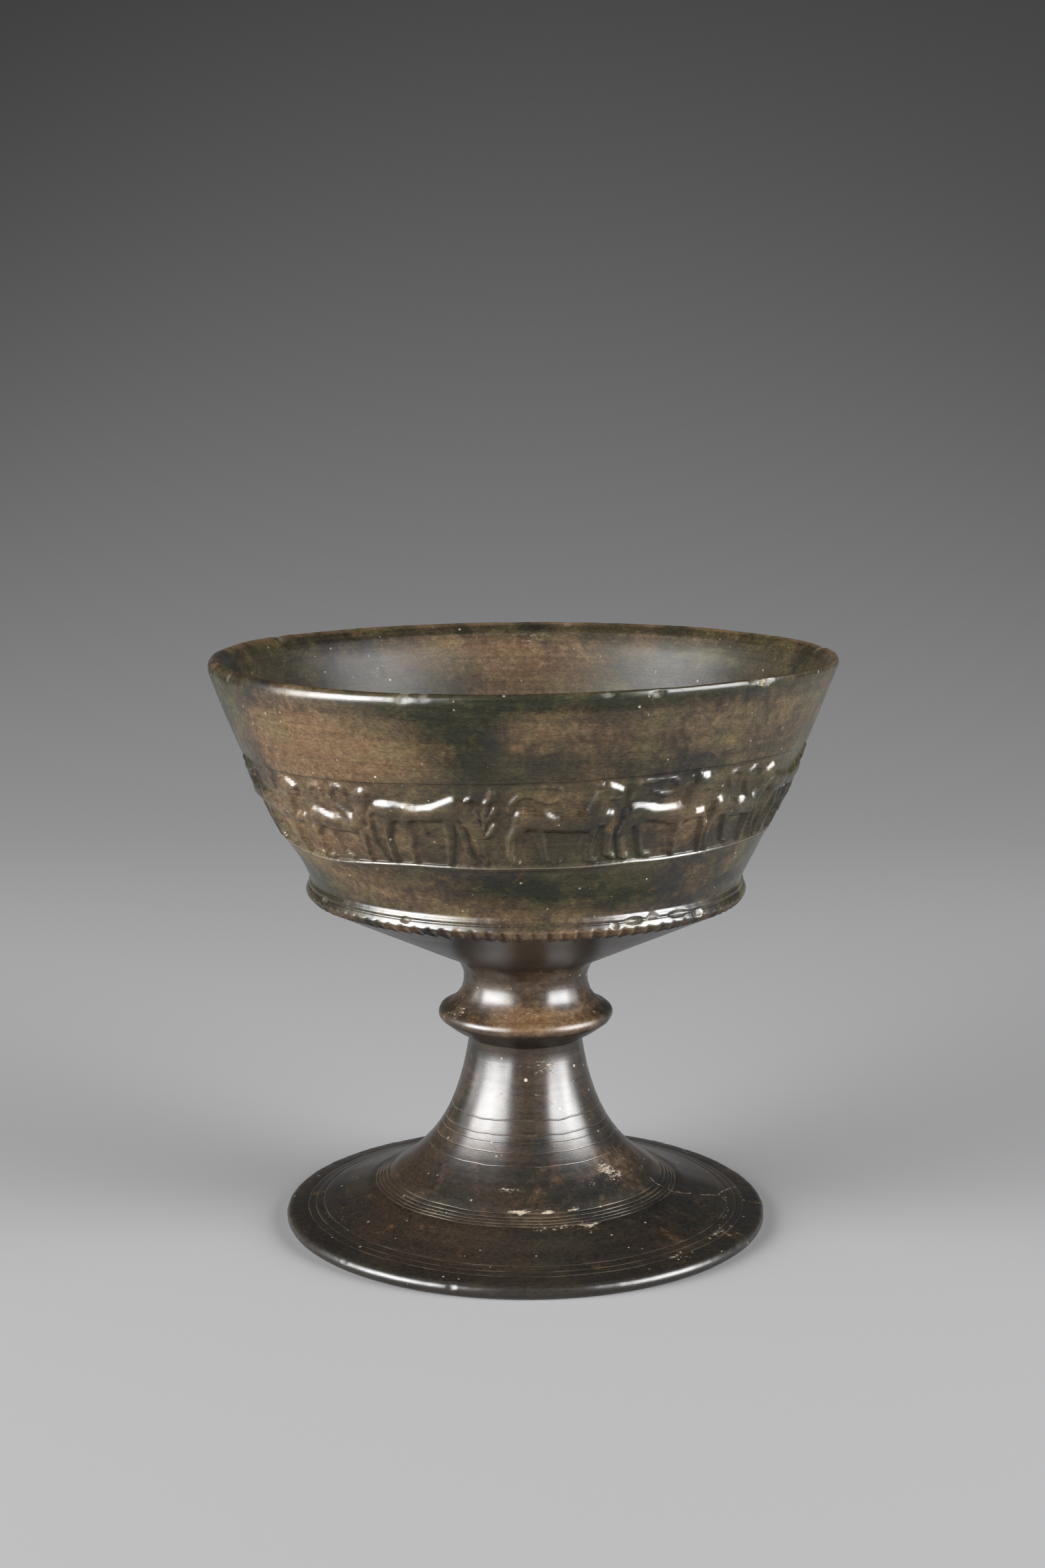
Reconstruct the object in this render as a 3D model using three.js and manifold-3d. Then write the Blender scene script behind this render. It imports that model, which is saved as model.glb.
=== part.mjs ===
// A bucchero chalice: a wide bowl with a rolled frieze of animals and a notched ridge, on a stem with
// a collar and a hollow trumpet foot. It was thrown in two parts, joined wet and fired as one piece of
// clay, so it is one solid. Millimetres, +Z up, the origin on the ground under the middle of the foot,
// and -Y is the front.
import * as THREE from "three";
import { mergeVertices } from "three/addons/utils/BufferGeometryUtils.js";
import Module from "manifold-3d";

// Heights of the storeys, stacked from the ground up.
const FOOT_HEIGHT = 51.3; // ground to the crease under the collar
const COLLAR_HEIGHT = 16.2; // that crease to the waist of the stem
const STEM_HEIGHT = 6.3; // the waist to the underside of the bowl
const BASIN_HEIGHT = 17.5; // the sloping underside of the bowl
const RIDGE_HEIGHT = 5; // the notched ridge
const WALL_HEIGHT = 59.7; // the wall of the bowl, up to the rim

// Outside radii.
const FOOT_RADIUS = 66;
const NECK_RADIUS = 15.5;
const COLLAR_RADIUS = 23.9;
const STEM_RADIUS = 16.95;
const STEM_TOP_RADIUS = 20.2;
const RIDGE_RADIUS = 59.2;
const WALL_FOOT_RADIUS = 57.8;
const RIM_RADIUS = 83.9;

// Curves of the outside.
const WALL_BULGE = 1.25; // how far the wall stands outside a straight line
const FOOT_EDGE = 3.9; // thickness of the rounded edge of the foot
const FLANGE_REACH = 30; // pull of the flat of the foot on the trumpet curve
const FLANGE_RISE = 6.5;
const NECK_REACH = 27.5; // pull of the neck on the same curve
const NECK_FLARE = 3.7;
const COLLAR_ROUND = 2.1; // radius of the collar's rounded rim
const COLLAR_RISE = 6.7; // the crease to the middle of the rounded rim
const RIDGE_UNDERCUT = 0.9; // how far the ridge's lower edge lies inside its face

// Walls.
const WALL = 4.2;
const LIP = 3.4;
const BASIN_WALL = 4.6;
const FLOOR = 5.8; // clay between the stem's top and the middle of the bowl's floor
const FLOOR_RADIUS = 17; // flat middle of the bowl's floor
const FOOT_WALL = 4.2;
const STAND_WIDTH = 3.2; // flat ring that the foot stands on
const HOLLOW_TOP = 64; // height of the hollow's crown inside the stem
const HOLLOW_RADIUS = 10.5; // the hollow's radius inside the neck

// Notches cut round the lower edge of the ridge.
const NOTCHES = 96;
const NOTCH_DEPTH = 1.2; // depth at the ridge's lower edge
const NOTCH_HEIGHT = 2.3; // how far a notch runs up the ridge
const NOTCH_SPREAD = 1.2; // half width of a notch at a depth of one

// The frieze. Its figures are measured in shares of the band's height.
const BAND_DROP = 22; // rim to the band's upper border
const BAND_HEIGHT = 22.4;
const IMPRESSIONS = 4; // turns of the engraved roller round the bowl
const FRIEZE_TURN = -33; // degrees from the front to the first impression
const RELIEF = 1.35; // how far a trunk stands out of the ground
const SINK = 0.7; // how deep a figure is rooted in the wall
const SHANK = 0.038; // half width of a leg below the hock

const COLUMNS = 40;
const AXIS = 0;

const COLLAR_Z = FOOT_HEIGHT;
const WAIST_Z = COLLAR_Z + COLLAR_HEIGHT;
const BASIN_Z = WAIST_Z + STEM_HEIGHT;
const RIDGE_Z = BASIN_Z + BASIN_HEIGHT;
const WALL_Z = RIDGE_Z + RIDGE_HEIGHT;
const RIM_Z = WALL_Z + WALL_HEIGHT;
const BAND_Z = RIM_Z - BAND_DROP - BAND_HEIGHT;

const point = (r, z) => new THREE.Vector2(r, z);
const degrees = THREE.MathUtils.degToRad;

// Points of an arc in the profile's plane, angles in degrees from the outward direction.
function arc(r, z, radius, from, to, steps) {
  return Array.from({ length: steps + 1 }, (_, i) => {
    const a = degrees(from + ((to - from) * i) / steps);
    return point(r + radius * Math.cos(a), z + radius * Math.sin(a));
  });
}

// The outside of the wall: a straight slope with a parabola's bulge on it.
function wallRadius(z) {
  const u = (z - WALL_Z) / WALL_HEIGHT;
  return THREE.MathUtils.lerp(WALL_FOOT_RADIUS, RIM_RADIUS, u) + WALL_BULGE * 4 * u * (1 - u);
}

// The wall's outward direction in the profile's plane, as (r, z).
function wallNormal(z) {
  const u = (z - WALL_Z) / WALL_HEIGHT;
  const slope = (RIM_RADIUS - WALL_FOOT_RADIUS + WALL_BULGE * 4 * (1 - 2 * u)) / WALL_HEIGHT;
  return point(1, -slope).normalize();
}

// The foot's outside: one cubic curve from the flat of the foot up to the neck.
function trumpetCurve() {
  return new THREE.CubicBezierCurve(
    point(FOOT_RADIUS - FOOT_EDGE, FOOT_EDGE),
    point(FOOT_RADIUS - FOOT_EDGE - FLANGE_REACH, FOOT_EDGE + FLANGE_RISE),
    point(NECK_RADIUS + NECK_FLARE, FOOT_HEIGHT - NECK_REACH),
    point(NECK_RADIUS, FOOT_HEIGHT),
  );
}

// The foot's hollow, from the crown on the axis out to the standing ring: the trumpet curve moved in
// by the wall's thickness as far as the neck's bore.
function hollowProfile() {
  const curve = trumpetCurve();
  const shares = [0.72, 0.5, 0.32, 0.12];
  const inner = shares
    .map((t) => {
      const along = curve.getTangent(t);
      return curve.getPoint(t).sub(point(along.y, -along.x).multiplyScalar(FOOT_WALL));
    })
    .filter((p) => p.x > HOLLOW_RADIUS && p.y > 0);
  return [
    point(AXIS, HOLLOW_TOP),
    point(HOLLOW_RADIUS * 0.7, HOLLOW_TOP - HOLLOW_RADIUS * 0.2),
    point(HOLLOW_RADIUS, HOLLOW_TOP - HOLLOW_RADIUS * 0.7),
    ...inner,
    point(FOOT_RADIUS - FOOT_EDGE / 2 - STAND_WIDTH, 0),
  ];
}

// The outside of the foot, from its standing ring to the crease under the collar.
function footProfile() {
  const round = FOOT_EDGE / 2;
  return [...arc(FOOT_RADIUS - round, round, round, -90, 90, 4), ...trumpetCurve().getPoints(6).slice(1)];
}

// The collar and the stem above it, up to the underside of the bowl.
function stemProfile() {
  const collar = arc(COLLAR_RADIUS - COLLAR_ROUND, COLLAR_Z + COLLAR_RISE, COLLAR_ROUND, -60, 45, 3);
  const shoulder = collar[collar.length - 1];
  const upper = new THREE.QuadraticBezierCurve(
    shoulder,
    point(STEM_RADIUS + 0.5, shoulder.y + (WAIST_Z - shoulder.y) * 0.3),
    point(STEM_RADIUS, WAIST_Z),
  );
  const flare = new THREE.QuadraticBezierCurve(
    point(STEM_RADIUS, WAIST_Z),
    point(STEM_RADIUS, BASIN_Z - STEM_HEIGHT * 0.25),
    point(STEM_TOP_RADIUS, BASIN_Z),
  );
  return [...collar, ...upper.getPoints(2).slice(1), ...flare.getPoints(2).slice(1)];
}

// The ridge, the wall and the rounded lip.
function bowlProfile() {
  const ridge = [
    point(RIDGE_RADIUS - RIDGE_UNDERCUT, RIDGE_Z),
    point(RIDGE_RADIUS, RIDGE_Z + RIDGE_HEIGHT * 0.62),
    point((RIDGE_RADIUS + WALL_FOOT_RADIUS) / 2, RIDGE_Z + RIDGE_HEIGHT * 0.9),
  ];
  const lipZ = RIM_Z - LIP / 2;
  const heights = [WALL_Z, BAND_Z, BAND_Z + BAND_HEIGHT];
  const wall = heights.map((z) => point(wallRadius(z), z));
  return [...ridge, ...wall, ...arc(wallRadius(lipZ) - LIP / 2, lipZ, LIP / 2, 0, 180, 4)];
}

// The inside of the bowl: the wall moved in by its thickness, then a shallow cone to the floor.
function insideProfile() {
  const thickness = (z) => THREE.MathUtils.lerp(WALL, LIP, Math.max(0, (z - BAND_Z) / (RIM_Z - BAND_Z)));
  const low = WALL_Z + BASIN_WALL * 0.4;
  const wall = [0.86, 0.5, 0.2, 0].map((u) => {
    const z = THREE.MathUtils.lerp(low, RIM_Z, u);
    const inward = wallNormal(z).multiplyScalar(thickness(z));
    return point(wallRadius(z) - inward.x, z - inward.y);
  });
  const corner = wall[wall.length - 1];
  const floorZ = BASIN_Z + FLOOR;
  return [
    ...wall,
    point(corner.x - BASIN_WALL, corner.y - BASIN_WALL * 0.75),
    point(FLOOR_RADIUS, floorZ + 0.4),
    point(AXIS, floorZ),
  ];
}

// A closed geometry as a solid: shared vertices merged, collapsed triangles at the poles dropped.
function solidOf(wasm, geometry) {
  geometry.deleteAttribute("normal");
  geometry.deleteAttribute("uv");
  const merged = mergeVertices(geometry, 1e-4);
  const index = merged.index.array;
  const kept = [];
  for (let i = 0; i < index.length; i += 3) {
    const [a, b, c] = [index[i], index[i + 1], index[i + 2]];
    if (a !== b && b !== c && c !== a) kept.push(a, b, c);
  }
  return new wasm.Manifold(
    new wasm.Mesh({
      numProp: 3,
      vertProperties: merged.attributes.position.array,
      triVerts: new Uint32Array(kept),
    }),
  );
}

// The whole pot without its carving: the profile turned round the axis.
function turnedBody(wasm) {
  const outside = [...footProfile(), ...stemProfile(), ...bowlProfile()];
  const profile = [...hollowProfile(), ...outside, ...insideProfile()];
  const lathe = new THREE.LatheGeometry(profile, COLUMNS);
  lathe.rotateX(Math.PI / 2);
  return solidOf(wasm, lathe);
}

// One V-shaped notch in the lower edge of the ridge, at an angle round the bowl. It is a square bar
// with one corner turned inward, which runs out on the ridge's face.
function notchCutter(wasm, angle) {
  const corner = point(RIDGE_RADIUS - RIDGE_UNDERCUT - NOTCH_DEPTH, RIDGE_Z);
  const top = point(RIDGE_RADIUS, RIDGE_Z + NOTCH_HEIGHT);
  const along = top.clone().sub(corner).normalize();
  const outward = point(along.y, -along.x);
  const bar = new THREE.CylinderGeometry(RIDGE_HEIGHT / 2, RIDGE_HEIGHT / 2, 2.6 * NOTCH_HEIGHT, 4);
  const across = new THREE.Vector3(0, 1, 0);
  bar.applyMatrix4(
    new THREE.Matrix4().makeBasis(
      across,
      new THREE.Vector3(along.x, 0, along.y),
      new THREE.Vector3(outward.x, 0, outward.y),
    ),
  );
  bar.scale(1, NOTCH_SPREAD, 1);
  bar.translate(corner.x + (outward.x * RIDGE_HEIGHT) / 2, 0, corner.y + (outward.y * RIDGE_HEIGHT) / 2);
  bar.rotateZ(angle);
  return solidOf(wasm, bar);
}

// A place on the wall: x to the right and y up, in band heights, from a figure's own start angle.
function onWall(start, x, y, lift) {
  const z = BAND_Z + y * BAND_HEIGHT;
  const out = wallNormal(z).multiplyScalar(lift);
  const angle = degrees(start) + (x * BAND_HEIGHT) / wallRadius(BAND_Z + BAND_HEIGHT / 2);
  const r = wallRadius(z) + out.x;
  return new THREE.Vector3(r * Math.sin(angle), -r * Math.cos(angle), z + out.y);
}

// A limb in low relief: a bar along a path of [x, y, half width], rooted in the wall. Its sides slope
// in to a top of `crest` times its width, or to a ridge where that is none.
function limb(wasm, start, { path, lift, crest = 0 }) {
  const last = path.length - 1;
  const bar = new THREE.BoxGeometry(1, 1, 1, last, 1, 1);
  const position = bar.attributes.position;
  for (let i = 0; i < position.count; i += 1) {
    const k = Math.round((position.getX(i) + 0.5) * last);
    const [x, y, half] = path[k];
    const [before, after] = [path[Math.max(k - 1, 0)], path[Math.min(k + 1, last)]];
    const across = point(before[1] - after[1], after[0] - before[0]).normalize();
    const top = position.getZ(i) > 0;
    const reach = Math.sign(position.getY(i)) * half * (top ? crest : 1);
    const place = onWall(start, x + across.x * reach, y + across.y * reach, top ? lift * RELIEF : -SINK);
    position.setXYZ(i, place.x, place.y, place.z);
  }
  return solidOf(wasm, bar);
}

// Points of an ellipse's arc for a tail or a wing, tapering from one half width to another.
function sweep(x, y, rx, ry, from, to, steps, wide, narrow) {
  return Array.from({ length: steps + 1 }, (_, i) => {
    const a = degrees(from + ((to - from) * i) / steps);
    return [x + rx * Math.cos(a), y + ry * Math.sin(a), THREE.MathUtils.lerp(wide, narrow, i / steps)];
  });
}

// A leg: a wide thigh or shoulder, the hock or knee, and the foot.
const leg = (hip, thigh, ...rest) => ({
  path: [[...hip, thigh], ...rest.map((joint) => [...joint, SHANK])],
  lift: 0.8,
});

// A tail that rises behind the rump, bends over the back and turns up in a curl.
const curledTail = [
  ...sweep(0.2, 0.7, 0.19, 0.15, 190, 60, 2, 0.036, 0.032),
  ...sweep(0.44, 0.85, 0.12, 0.1, 270, 450, 2, 0.032, 0.026),
];

// A tail that rises behind the rump, runs over the back and turns down in a hook.
const hookedTail = [
  ...sweep(0.22, 0.76, 0.17, 0.17, 200, 100, 2, 0.036, 0.032),
  ...sweep(0.48, 0.84, 0.14, 0.1, 60, -90, 2, 0.03, 0.024),
];

// A walking lion with its tail over its back. Stride 0 sets the near foreleg down, 1 lifts it forward.
function lion(stride, tail) {
  const trunk = [[0.1, 0.58, 0.11], [0.34, 0.545, 0.125], [0.6, 0.51, 0.1], [0.95, 0.54, 0.14]];
  return [
    { path: trunk, lift: 1, crest: 0.5 },
    { path: [[0.9, 0.62, 0.12], [0.99, 0.86, 0.1], [1.16, 0.8, 0.055]], lift: 1 },
    leg([0.13, 0.48], 0.09, [0.0, 0.34], [0.07, 0.06]),
    leg([0.3, 0.44], 0.07, [0.36, 0.27], [0.52, 0.06]),
    leg([0.88, 0.46], 0.06, [0.93, 0.06]),
    leg([1.0, 0.5], 0.06, [1.06 + 0.02 * stride, 0.3 + 0.2 * stride], [1.12 + 0.06 * stride, 0.06]),
    { path: tail, lift: 0.6 },
  ];
}

// A bull that grazes, with a hanging tail.
const bull = [
  { path: [[0.19, 0.68, 0.12], [0.67, 0.64, 0.1], [1.08, 0.7, 0.155]], lift: 1, crest: 0.5 },
  { path: [[1.12, 0.72, 0.12], [1.26, 0.52, 0.08], [1.3, 0.18, 0.045]], lift: 1 },
  leg([0.26, 0.54], 0.08, [0.2, 0.34], [0.22, 0.04]),
  leg([0.46, 0.53], 0.06, [0.51, 0.05]),
  leg([1.0, 0.56], 0.06, [0.94, 0.05]),
  leg([1.12, 0.56], 0.055, [1.19, 0.05]),
  { path: [[0.12, 0.75, 0.036], [0.0, 0.46, 0.032], [0.08, 0.07, 0.042]], lift: 0.6 },
];

// A winged lion with an upright human head and a wing that curls over its back.
const sphinx = [
  { path: [[0.1, 0.545, 0.12], [0.4, 0.48, 0.1], [0.78, 0.47, 0.125]], lift: 1, crest: 0.5 },
  { path: [[0.8, 0.53, 0.1], [0.9, 0.74, 0.085], [0.96, 0.91, 0.075]], lift: 1 },
  leg([0.1, 0.46], 0.08, [0.01, 0.32], [0.1, 0.06]),
  leg([0.29, 0.42], 0.055, [0.48, 0.06]),
  leg([0.77, 0.4], 0.05, [0.8, 0.05]),
  leg([0.86, 0.42], 0.05, [1.03, 0.05]),
  { path: sweep(0.17, 0.72, 0.15, 0.15, 200, 10, 3, 0.036, 0.028), lift: 0.6 },
  { path: [[0.74, 0.52, 0.05], ...sweep(0.6, 0.79, 0.11, 0.13, 190, 10, 2, 0.045, 0.034)], lift: 0.7 },
];

// A plant with a curved stem and two leaves.
const plant = [
  { path: [[0.03, 0.03, 0.028], [0.01, 0.45, 0.03], [0.13, 0.94, 0.022]], lift: 0.6 },
  ...[0.4, 0.66].map((y) => ({ path: [[0.04, y, 0.026], [0.2, y + 0.18, 0.03]], lift: 0.6 })),
];

// The figures of one impression, with the degrees from the impression's start to each.
const procession = [
  [0, bull],
  [24, plant],
  [29.5, lion(0, curledTail)],
  [52.5, lion(1, hookedTail)],
  [73.5, sphinx],
];

function makeChalice(wasm) {
  const figures = [];
  for (let i = 0; i < IMPRESSIONS; i += 1) {
    for (const [offset, limbs] of procession) {
      const start = FRIEZE_TURN + (360 * i) / IMPRESSIONS + offset;
      figures.push(...limbs.map((one) => limb(wasm, start, one)));
    }
  }
  const cutters = Array.from({ length: NOTCHES }, (_, i) => {
    return notchCutter(wasm, (2 * Math.PI * (i + 0.5)) / NOTCHES);
  });
  const carved = turnedBody(wasm)
    .add(wasm.Manifold.union(figures))
    .subtract(wasm.Manifold.union(cutters))
    .getMesh();
  const geometry = new THREE.BufferGeometry();
  const positions = new Float32Array(carved.vertProperties);
  geometry.setAttribute("position", new THREE.BufferAttribute(positions, 3));
  geometry.setIndex(new THREE.BufferAttribute(new Uint32Array(carved.triVerts), 1));
  geometry.computeVertexNormals();
  const clay = new THREE.MeshStandardMaterial({ color: 0x3d342a, roughness: 0.4, flatShading: true });
  const mesh = new THREE.Mesh(geometry, clay);
  mesh.name = "chalice";
  return mesh;
}

const wasm = await Module();
wasm.setup();

const chalice = new THREE.Group();
chalice.add(makeChalice(wasm));

export default chalice;
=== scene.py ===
# %% [markdown]
# # A bucchero chalice
#
# This is a drinking cup of black fired clay on a hollow trumpet foot. The potter threw the bowl and
# the foot on a wheel, joined them with a collar, rolled an engraved cylinder round the wet wall to
# stamp a procession of animals, cut notches round a ridge, rubbed the skin smooth with a pebble and
# fired it without air, which turned the clay black. Two and a half thousand years in the ground
# added brown blotches, pale crusts, chips and a crack.
#
# The whole cup is one piece of clay, so it is one mesh here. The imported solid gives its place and
# size; the mesh below keeps that form and adds the relief, the turning marks and the damage.

import bpy
import numpy as np
from mathutils import Matrix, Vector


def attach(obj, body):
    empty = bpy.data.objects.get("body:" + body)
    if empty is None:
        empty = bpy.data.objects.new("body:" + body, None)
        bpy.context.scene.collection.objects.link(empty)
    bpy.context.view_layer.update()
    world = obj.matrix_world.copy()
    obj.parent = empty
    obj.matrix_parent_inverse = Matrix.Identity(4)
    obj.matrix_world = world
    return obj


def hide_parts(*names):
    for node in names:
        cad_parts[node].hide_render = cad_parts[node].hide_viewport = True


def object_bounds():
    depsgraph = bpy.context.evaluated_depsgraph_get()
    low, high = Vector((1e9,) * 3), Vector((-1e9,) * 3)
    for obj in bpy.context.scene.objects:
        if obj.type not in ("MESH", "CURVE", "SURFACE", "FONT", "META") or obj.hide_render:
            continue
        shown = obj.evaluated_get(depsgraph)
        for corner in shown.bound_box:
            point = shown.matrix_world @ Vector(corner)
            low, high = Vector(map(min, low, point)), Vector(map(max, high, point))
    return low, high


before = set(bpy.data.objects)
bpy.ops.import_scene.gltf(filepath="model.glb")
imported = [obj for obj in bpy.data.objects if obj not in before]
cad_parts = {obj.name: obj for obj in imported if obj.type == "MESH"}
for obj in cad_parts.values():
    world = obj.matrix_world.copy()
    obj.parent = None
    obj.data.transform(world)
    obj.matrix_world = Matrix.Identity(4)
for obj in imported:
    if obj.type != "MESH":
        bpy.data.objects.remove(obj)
CAD_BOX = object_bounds()
MM = 0.001
print("frame box in mm:", [[round(v / MM, 1) for v in corner] for corner in CAD_BOX])

# %% [markdown]
# ## The sizes
#
# A wheel-thrown pot is a stack of storeys, each with its own height and radius, so the sizes are
# written that way, in millimetres. The total height comes from the frame, and the storeys under the
# rim are what is left for the wall.

# %% Heights, from the ground up
HEIGHT = CAD_BOX[1][2] / MM
FOOT_HEIGHT = 51.3
COLLAR_HEIGHT = 16.2
STEM_HEIGHT = 6.3
BASIN_HEIGHT = 17.5
RIDGE_HEIGHT = 5.0

COLLAR_Z = FOOT_HEIGHT
WAIST_Z = COLLAR_Z + COLLAR_HEIGHT
BASIN_Z = WAIST_Z + STEM_HEIGHT
RIDGE_Z = BASIN_Z + BASIN_HEIGHT
WALL_Z = RIDGE_Z + RIDGE_HEIGHT
RIM_Z = HEIGHT
print("storeys at", [round(z, 1) for z in (COLLAR_Z, WAIST_Z, BASIN_Z, RIDGE_Z, WALL_Z, RIM_Z)])

# %% Radii and wall thicknesses
FOOT_RADIUS = 66.0
NECK_RADIUS = 15.5
COLLAR_RADIUS = 23.9
STEM_RADIUS = 16.95
STEM_TOP_RADIUS = 20.2
RIDGE_RADIUS = 59.2
WALL_FOOT_RADIUS = 57.8
RIM_RADIUS = 83.9
WALL_BULGE = 1.25

WALL = 4.2
LIP = 3.4
BASIN_WALL = 4.6
FLOOR = 5.8
FLOOR_RADIUS = 17.0
FOOT_EDGE = 3.9
FOOT_WALL = 4.2
STAND_WIDTH = 3.2
HOLLOW_TOP = 64.0
HOLLOW_RADIUS = 10.5

# %% The frieze band
BAND_DROP = 22.0
BAND_HEIGHT = 22.4
BAND_TOP = RIM_Z - BAND_DROP
BAND_FOOT = BAND_TOP - BAND_HEIGHT
IMPRESSIONS = 4
FRIEZE_TURN = -33.0
DEGREE = 0.0556
print("frieze from", round(BAND_FOOT, 1), "to", round(BAND_TOP, 1), "mm")

# %% [markdown]
# ## Curves for the profile
#
# Half of the pot's cross-section is one open line in the plane of radius and height. It starts on
# the axis at the crown of the foot's hollow, runs out to the standing ring, up the outside, over the
# lip and down the inside to the middle of the floor. Straight runs, arcs and Bezier curves are
# enough for all of it, and each is a function that returns an array of points.

# %% Curve helpers
def line(a, b, count):
    """Points on a straight line from a to b: a plus a share t of the way to b."""
    t = np.linspace(0, 1, count)[:, None]
    return np.array(a) * (1 - t) + np.array(b) * t


def arc(center, radius, start, stop, count):
    """Points on a circle: the centre plus radius times (cosine, sine) of an angle in degrees."""
    a = np.radians(np.linspace(start, stop, count))
    return np.array(center) + radius * np.column_stack([np.cos(a), np.sin(a)])


def bezier(points, t):
    """A Bezier curve by de Casteljau's rule: blend neighbours by t until one point is left."""
    level = [np.array(p, float) for p in points]
    t = np.asarray(t)[:, None]
    while len(level) > 1:
        level = [a * (1 - t) + b * t for a, b in zip(level[:-1], level[1:])]
    return level[0]


def wall_radius(z):
    """Outside of the wall: a straight slope between two radii, plus a parabola's bulge."""
    u = (z - WALL_Z) / (RIM_Z - WALL_Z)
    return WALL_FOOT_RADIUS + (RIM_RADIUS - WALL_FOOT_RADIUS) * u + WALL_BULGE * 4 * u * (1 - u)


def ease(t):
    """A soft step: 3 t squared minus 2 t cubed, held at 0 and 1 outside that range."""
    t = np.clip(t, 0, 1)
    return t * t * (3 - 2 * t)


print("wall radius at the band:", np.round(wall_radius(np.array([BAND_FOOT, BAND_TOP])), 1))

# %% [markdown]
# ## The turned lines
#
# While the foot was still on the wheel, the potter pressed a fine point against it and cut groups of
# rings: three faint ones at the edge, five strong ones where the trumpet begins to rise, and five
# finer ones up the neck. Each ring of the first two groups is a valley in the profile, made of three
# close rows: its two banks, and between them the bottom, which is moved in. The neck's rings are too
# fine for the mesh, and the material draws them.

# %% The trumpet curve, and the radii of the rings on it
TRUMPET = (
    (FOOT_RADIUS - FOOT_EDGE, FOOT_EDGE),
    (FOOT_RADIUS - FOOT_EDGE - 30.0, FOOT_EDGE + 6.5),
    (NECK_RADIUS + 3.7, FOOT_HEIGHT - 27.5),
    (NECK_RADIUS, FOOT_HEIGHT),
)
EDGE_RINGS = [60.1, 58.1, 55.8]
RISE_RINGS = [41.5, 40.6, 39.7, 38.7, 37.5]
NECK_RINGS = [26.9, 24.6, 23.1, 22.1, 20.4]
RING_WIDTH = 0.34
EDGE_RING_DEPTH = 0.05
RISE_RING_DEPTH = 0.13


def share_at_radius(radius):
    """The share of the trumpet curve where it has this radius, read off a fine sampling of it."""
    t = np.linspace(0, 1, 2001)
    return float(np.interp(-radius, -bezier(TRUMPET, t)[:, 0], t))


def trumpet_rows():
    """Rows of the foot's outside and how deep each is cut: even rows, and three for each ring."""
    rings = [(r, EDGE_RING_DEPTH) for r in EDGE_RINGS] + [(r, RISE_RING_DEPTH) for r in RISE_RINGS]
    shares, depths = [], []
    for radius, depth in rings:
        for side in (-1, 0, 1):
            shares.append(share_at_radius(radius + side * RING_WIDTH))
            depths.append(0.0 if side else depth)
    cut = np.array(shares)
    even = np.linspace(0, 1, 19)[1:]
    even = even[np.min(np.abs(even[:, None] - cut[None, :]), axis=1) > 0.008]
    shares = np.concatenate([cut, even])
    depths = np.concatenate([depths, np.zeros(len(even))])
    order = np.argsort(shares)
    return bezier(TRUMPET, shares[order]), depths[order]


foot_rows, foot_cuts = trumpet_rows()
print("rows up the foot:", len(foot_rows))

# %% [markdown]
# ## The profile in zones
#
# The figures need a mesh cell of half a millimetre, the plain inside does not. So the profile is cut
# into zones, and each zone says into how many columns it is divided round the axis. Each count is
# twice or half of its neighbour's, so that zones can be stitched with no gap. The notched ridge has
# 96 notches, and 864 columns give each notch nine.

# %% Zones from the hollow's crown to the middle of the floor
COARSE = 216
MEDIUM = 432
FINE = 864
NOTCHES = 96
zones = []


def zone(name, points, columns, cuts=None):
    """Adds rows of the profile, with the number of columns round the axis and the cut in each row."""
    points = np.asarray(points, float)
    cuts = np.zeros(len(points)) if cuts is None else np.asarray(cuts, float)
    zones.append((name, points, columns, cuts))


def inset_trumpet(shares):
    """The trumpet curve moved inwards by the foot's wall: each point minus the wall times its normal."""
    step = 1e-3
    at = bezier(TRUMPET, shares)
    along = bezier(TRUMPET, np.asarray(shares) + step) - bezier(TRUMPET, np.asarray(shares) - step)
    along /= np.linalg.norm(along, axis=1)[:, None]
    return at - FOOT_WALL * np.column_stack([along[:, 1], -along[:, 0]])


inner = inset_trumpet(np.linspace(0.8, 0.1, 14))
inner = inner[(inner[:, 0] > HOLLOW_RADIUS + 0.4) & (inner[:, 1] > 0.4)]
round_edge = FOOT_EDGE / 2
zone("crown", arc((0, HOLLOW_TOP - HOLLOW_RADIUS), HOLLOW_RADIUS, 82, 4, 8), COARSE)
zone("hollow", inner, COARSE)
stand_inner = FOOT_RADIUS - round_edge - STAND_WIDTH
zone("stand", [(stand_inner - 0.6, 0.5), (stand_inner, 0.08), (stand_inner + 0.8, 0.0)], COARSE)
zone("edge", arc((FOOT_RADIUS - round_edge, round_edge), round_edge, -90, 84, 8), MEDIUM)
zone("foot", foot_rows, COARSE, foot_cuts)
print("zones so far:", [(name, len(points)) for name, points, columns, cuts in zones])

# %% The collar, the stem and the underside of the bowl
COLLAR_ROUND = 2.1
COLLAR_RISE = 6.7
TURNING_MARKS = [0.0, 0.15, 0.0, 0.06]
collar_center = (COLLAR_RADIUS - COLLAR_ROUND, COLLAR_Z + COLLAR_RISE)
collar_rim = arc(collar_center, COLLAR_ROUND, -62, 48, 7)
crease = (NECK_RADIUS + 0.25, COLLAR_Z + 0.45)
below = bezier([crease, (NECK_RADIUS + 3.2, COLLAR_Z + 1.6), collar_rim[0]], np.linspace(0, 1, 5)[:-1])
shoulder = collar_rim[-1]
above = bezier(
    [shoulder, (STEM_RADIUS + 0.5, shoulder[1] + (WAIST_Z - shoulder[1]) * 0.3), (STEM_RADIUS, WAIST_Z)],
    np.linspace(0, 1, 10)[1:],
)
flare = bezier(
    [(STEM_RADIUS, WAIST_Z), (STEM_RADIUS, BASIN_Z - 0.25 * STEM_HEIGHT), (STEM_TOP_RADIUS, BASIN_Z)],
    np.linspace(0, 1, 6)[1:],
)
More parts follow.
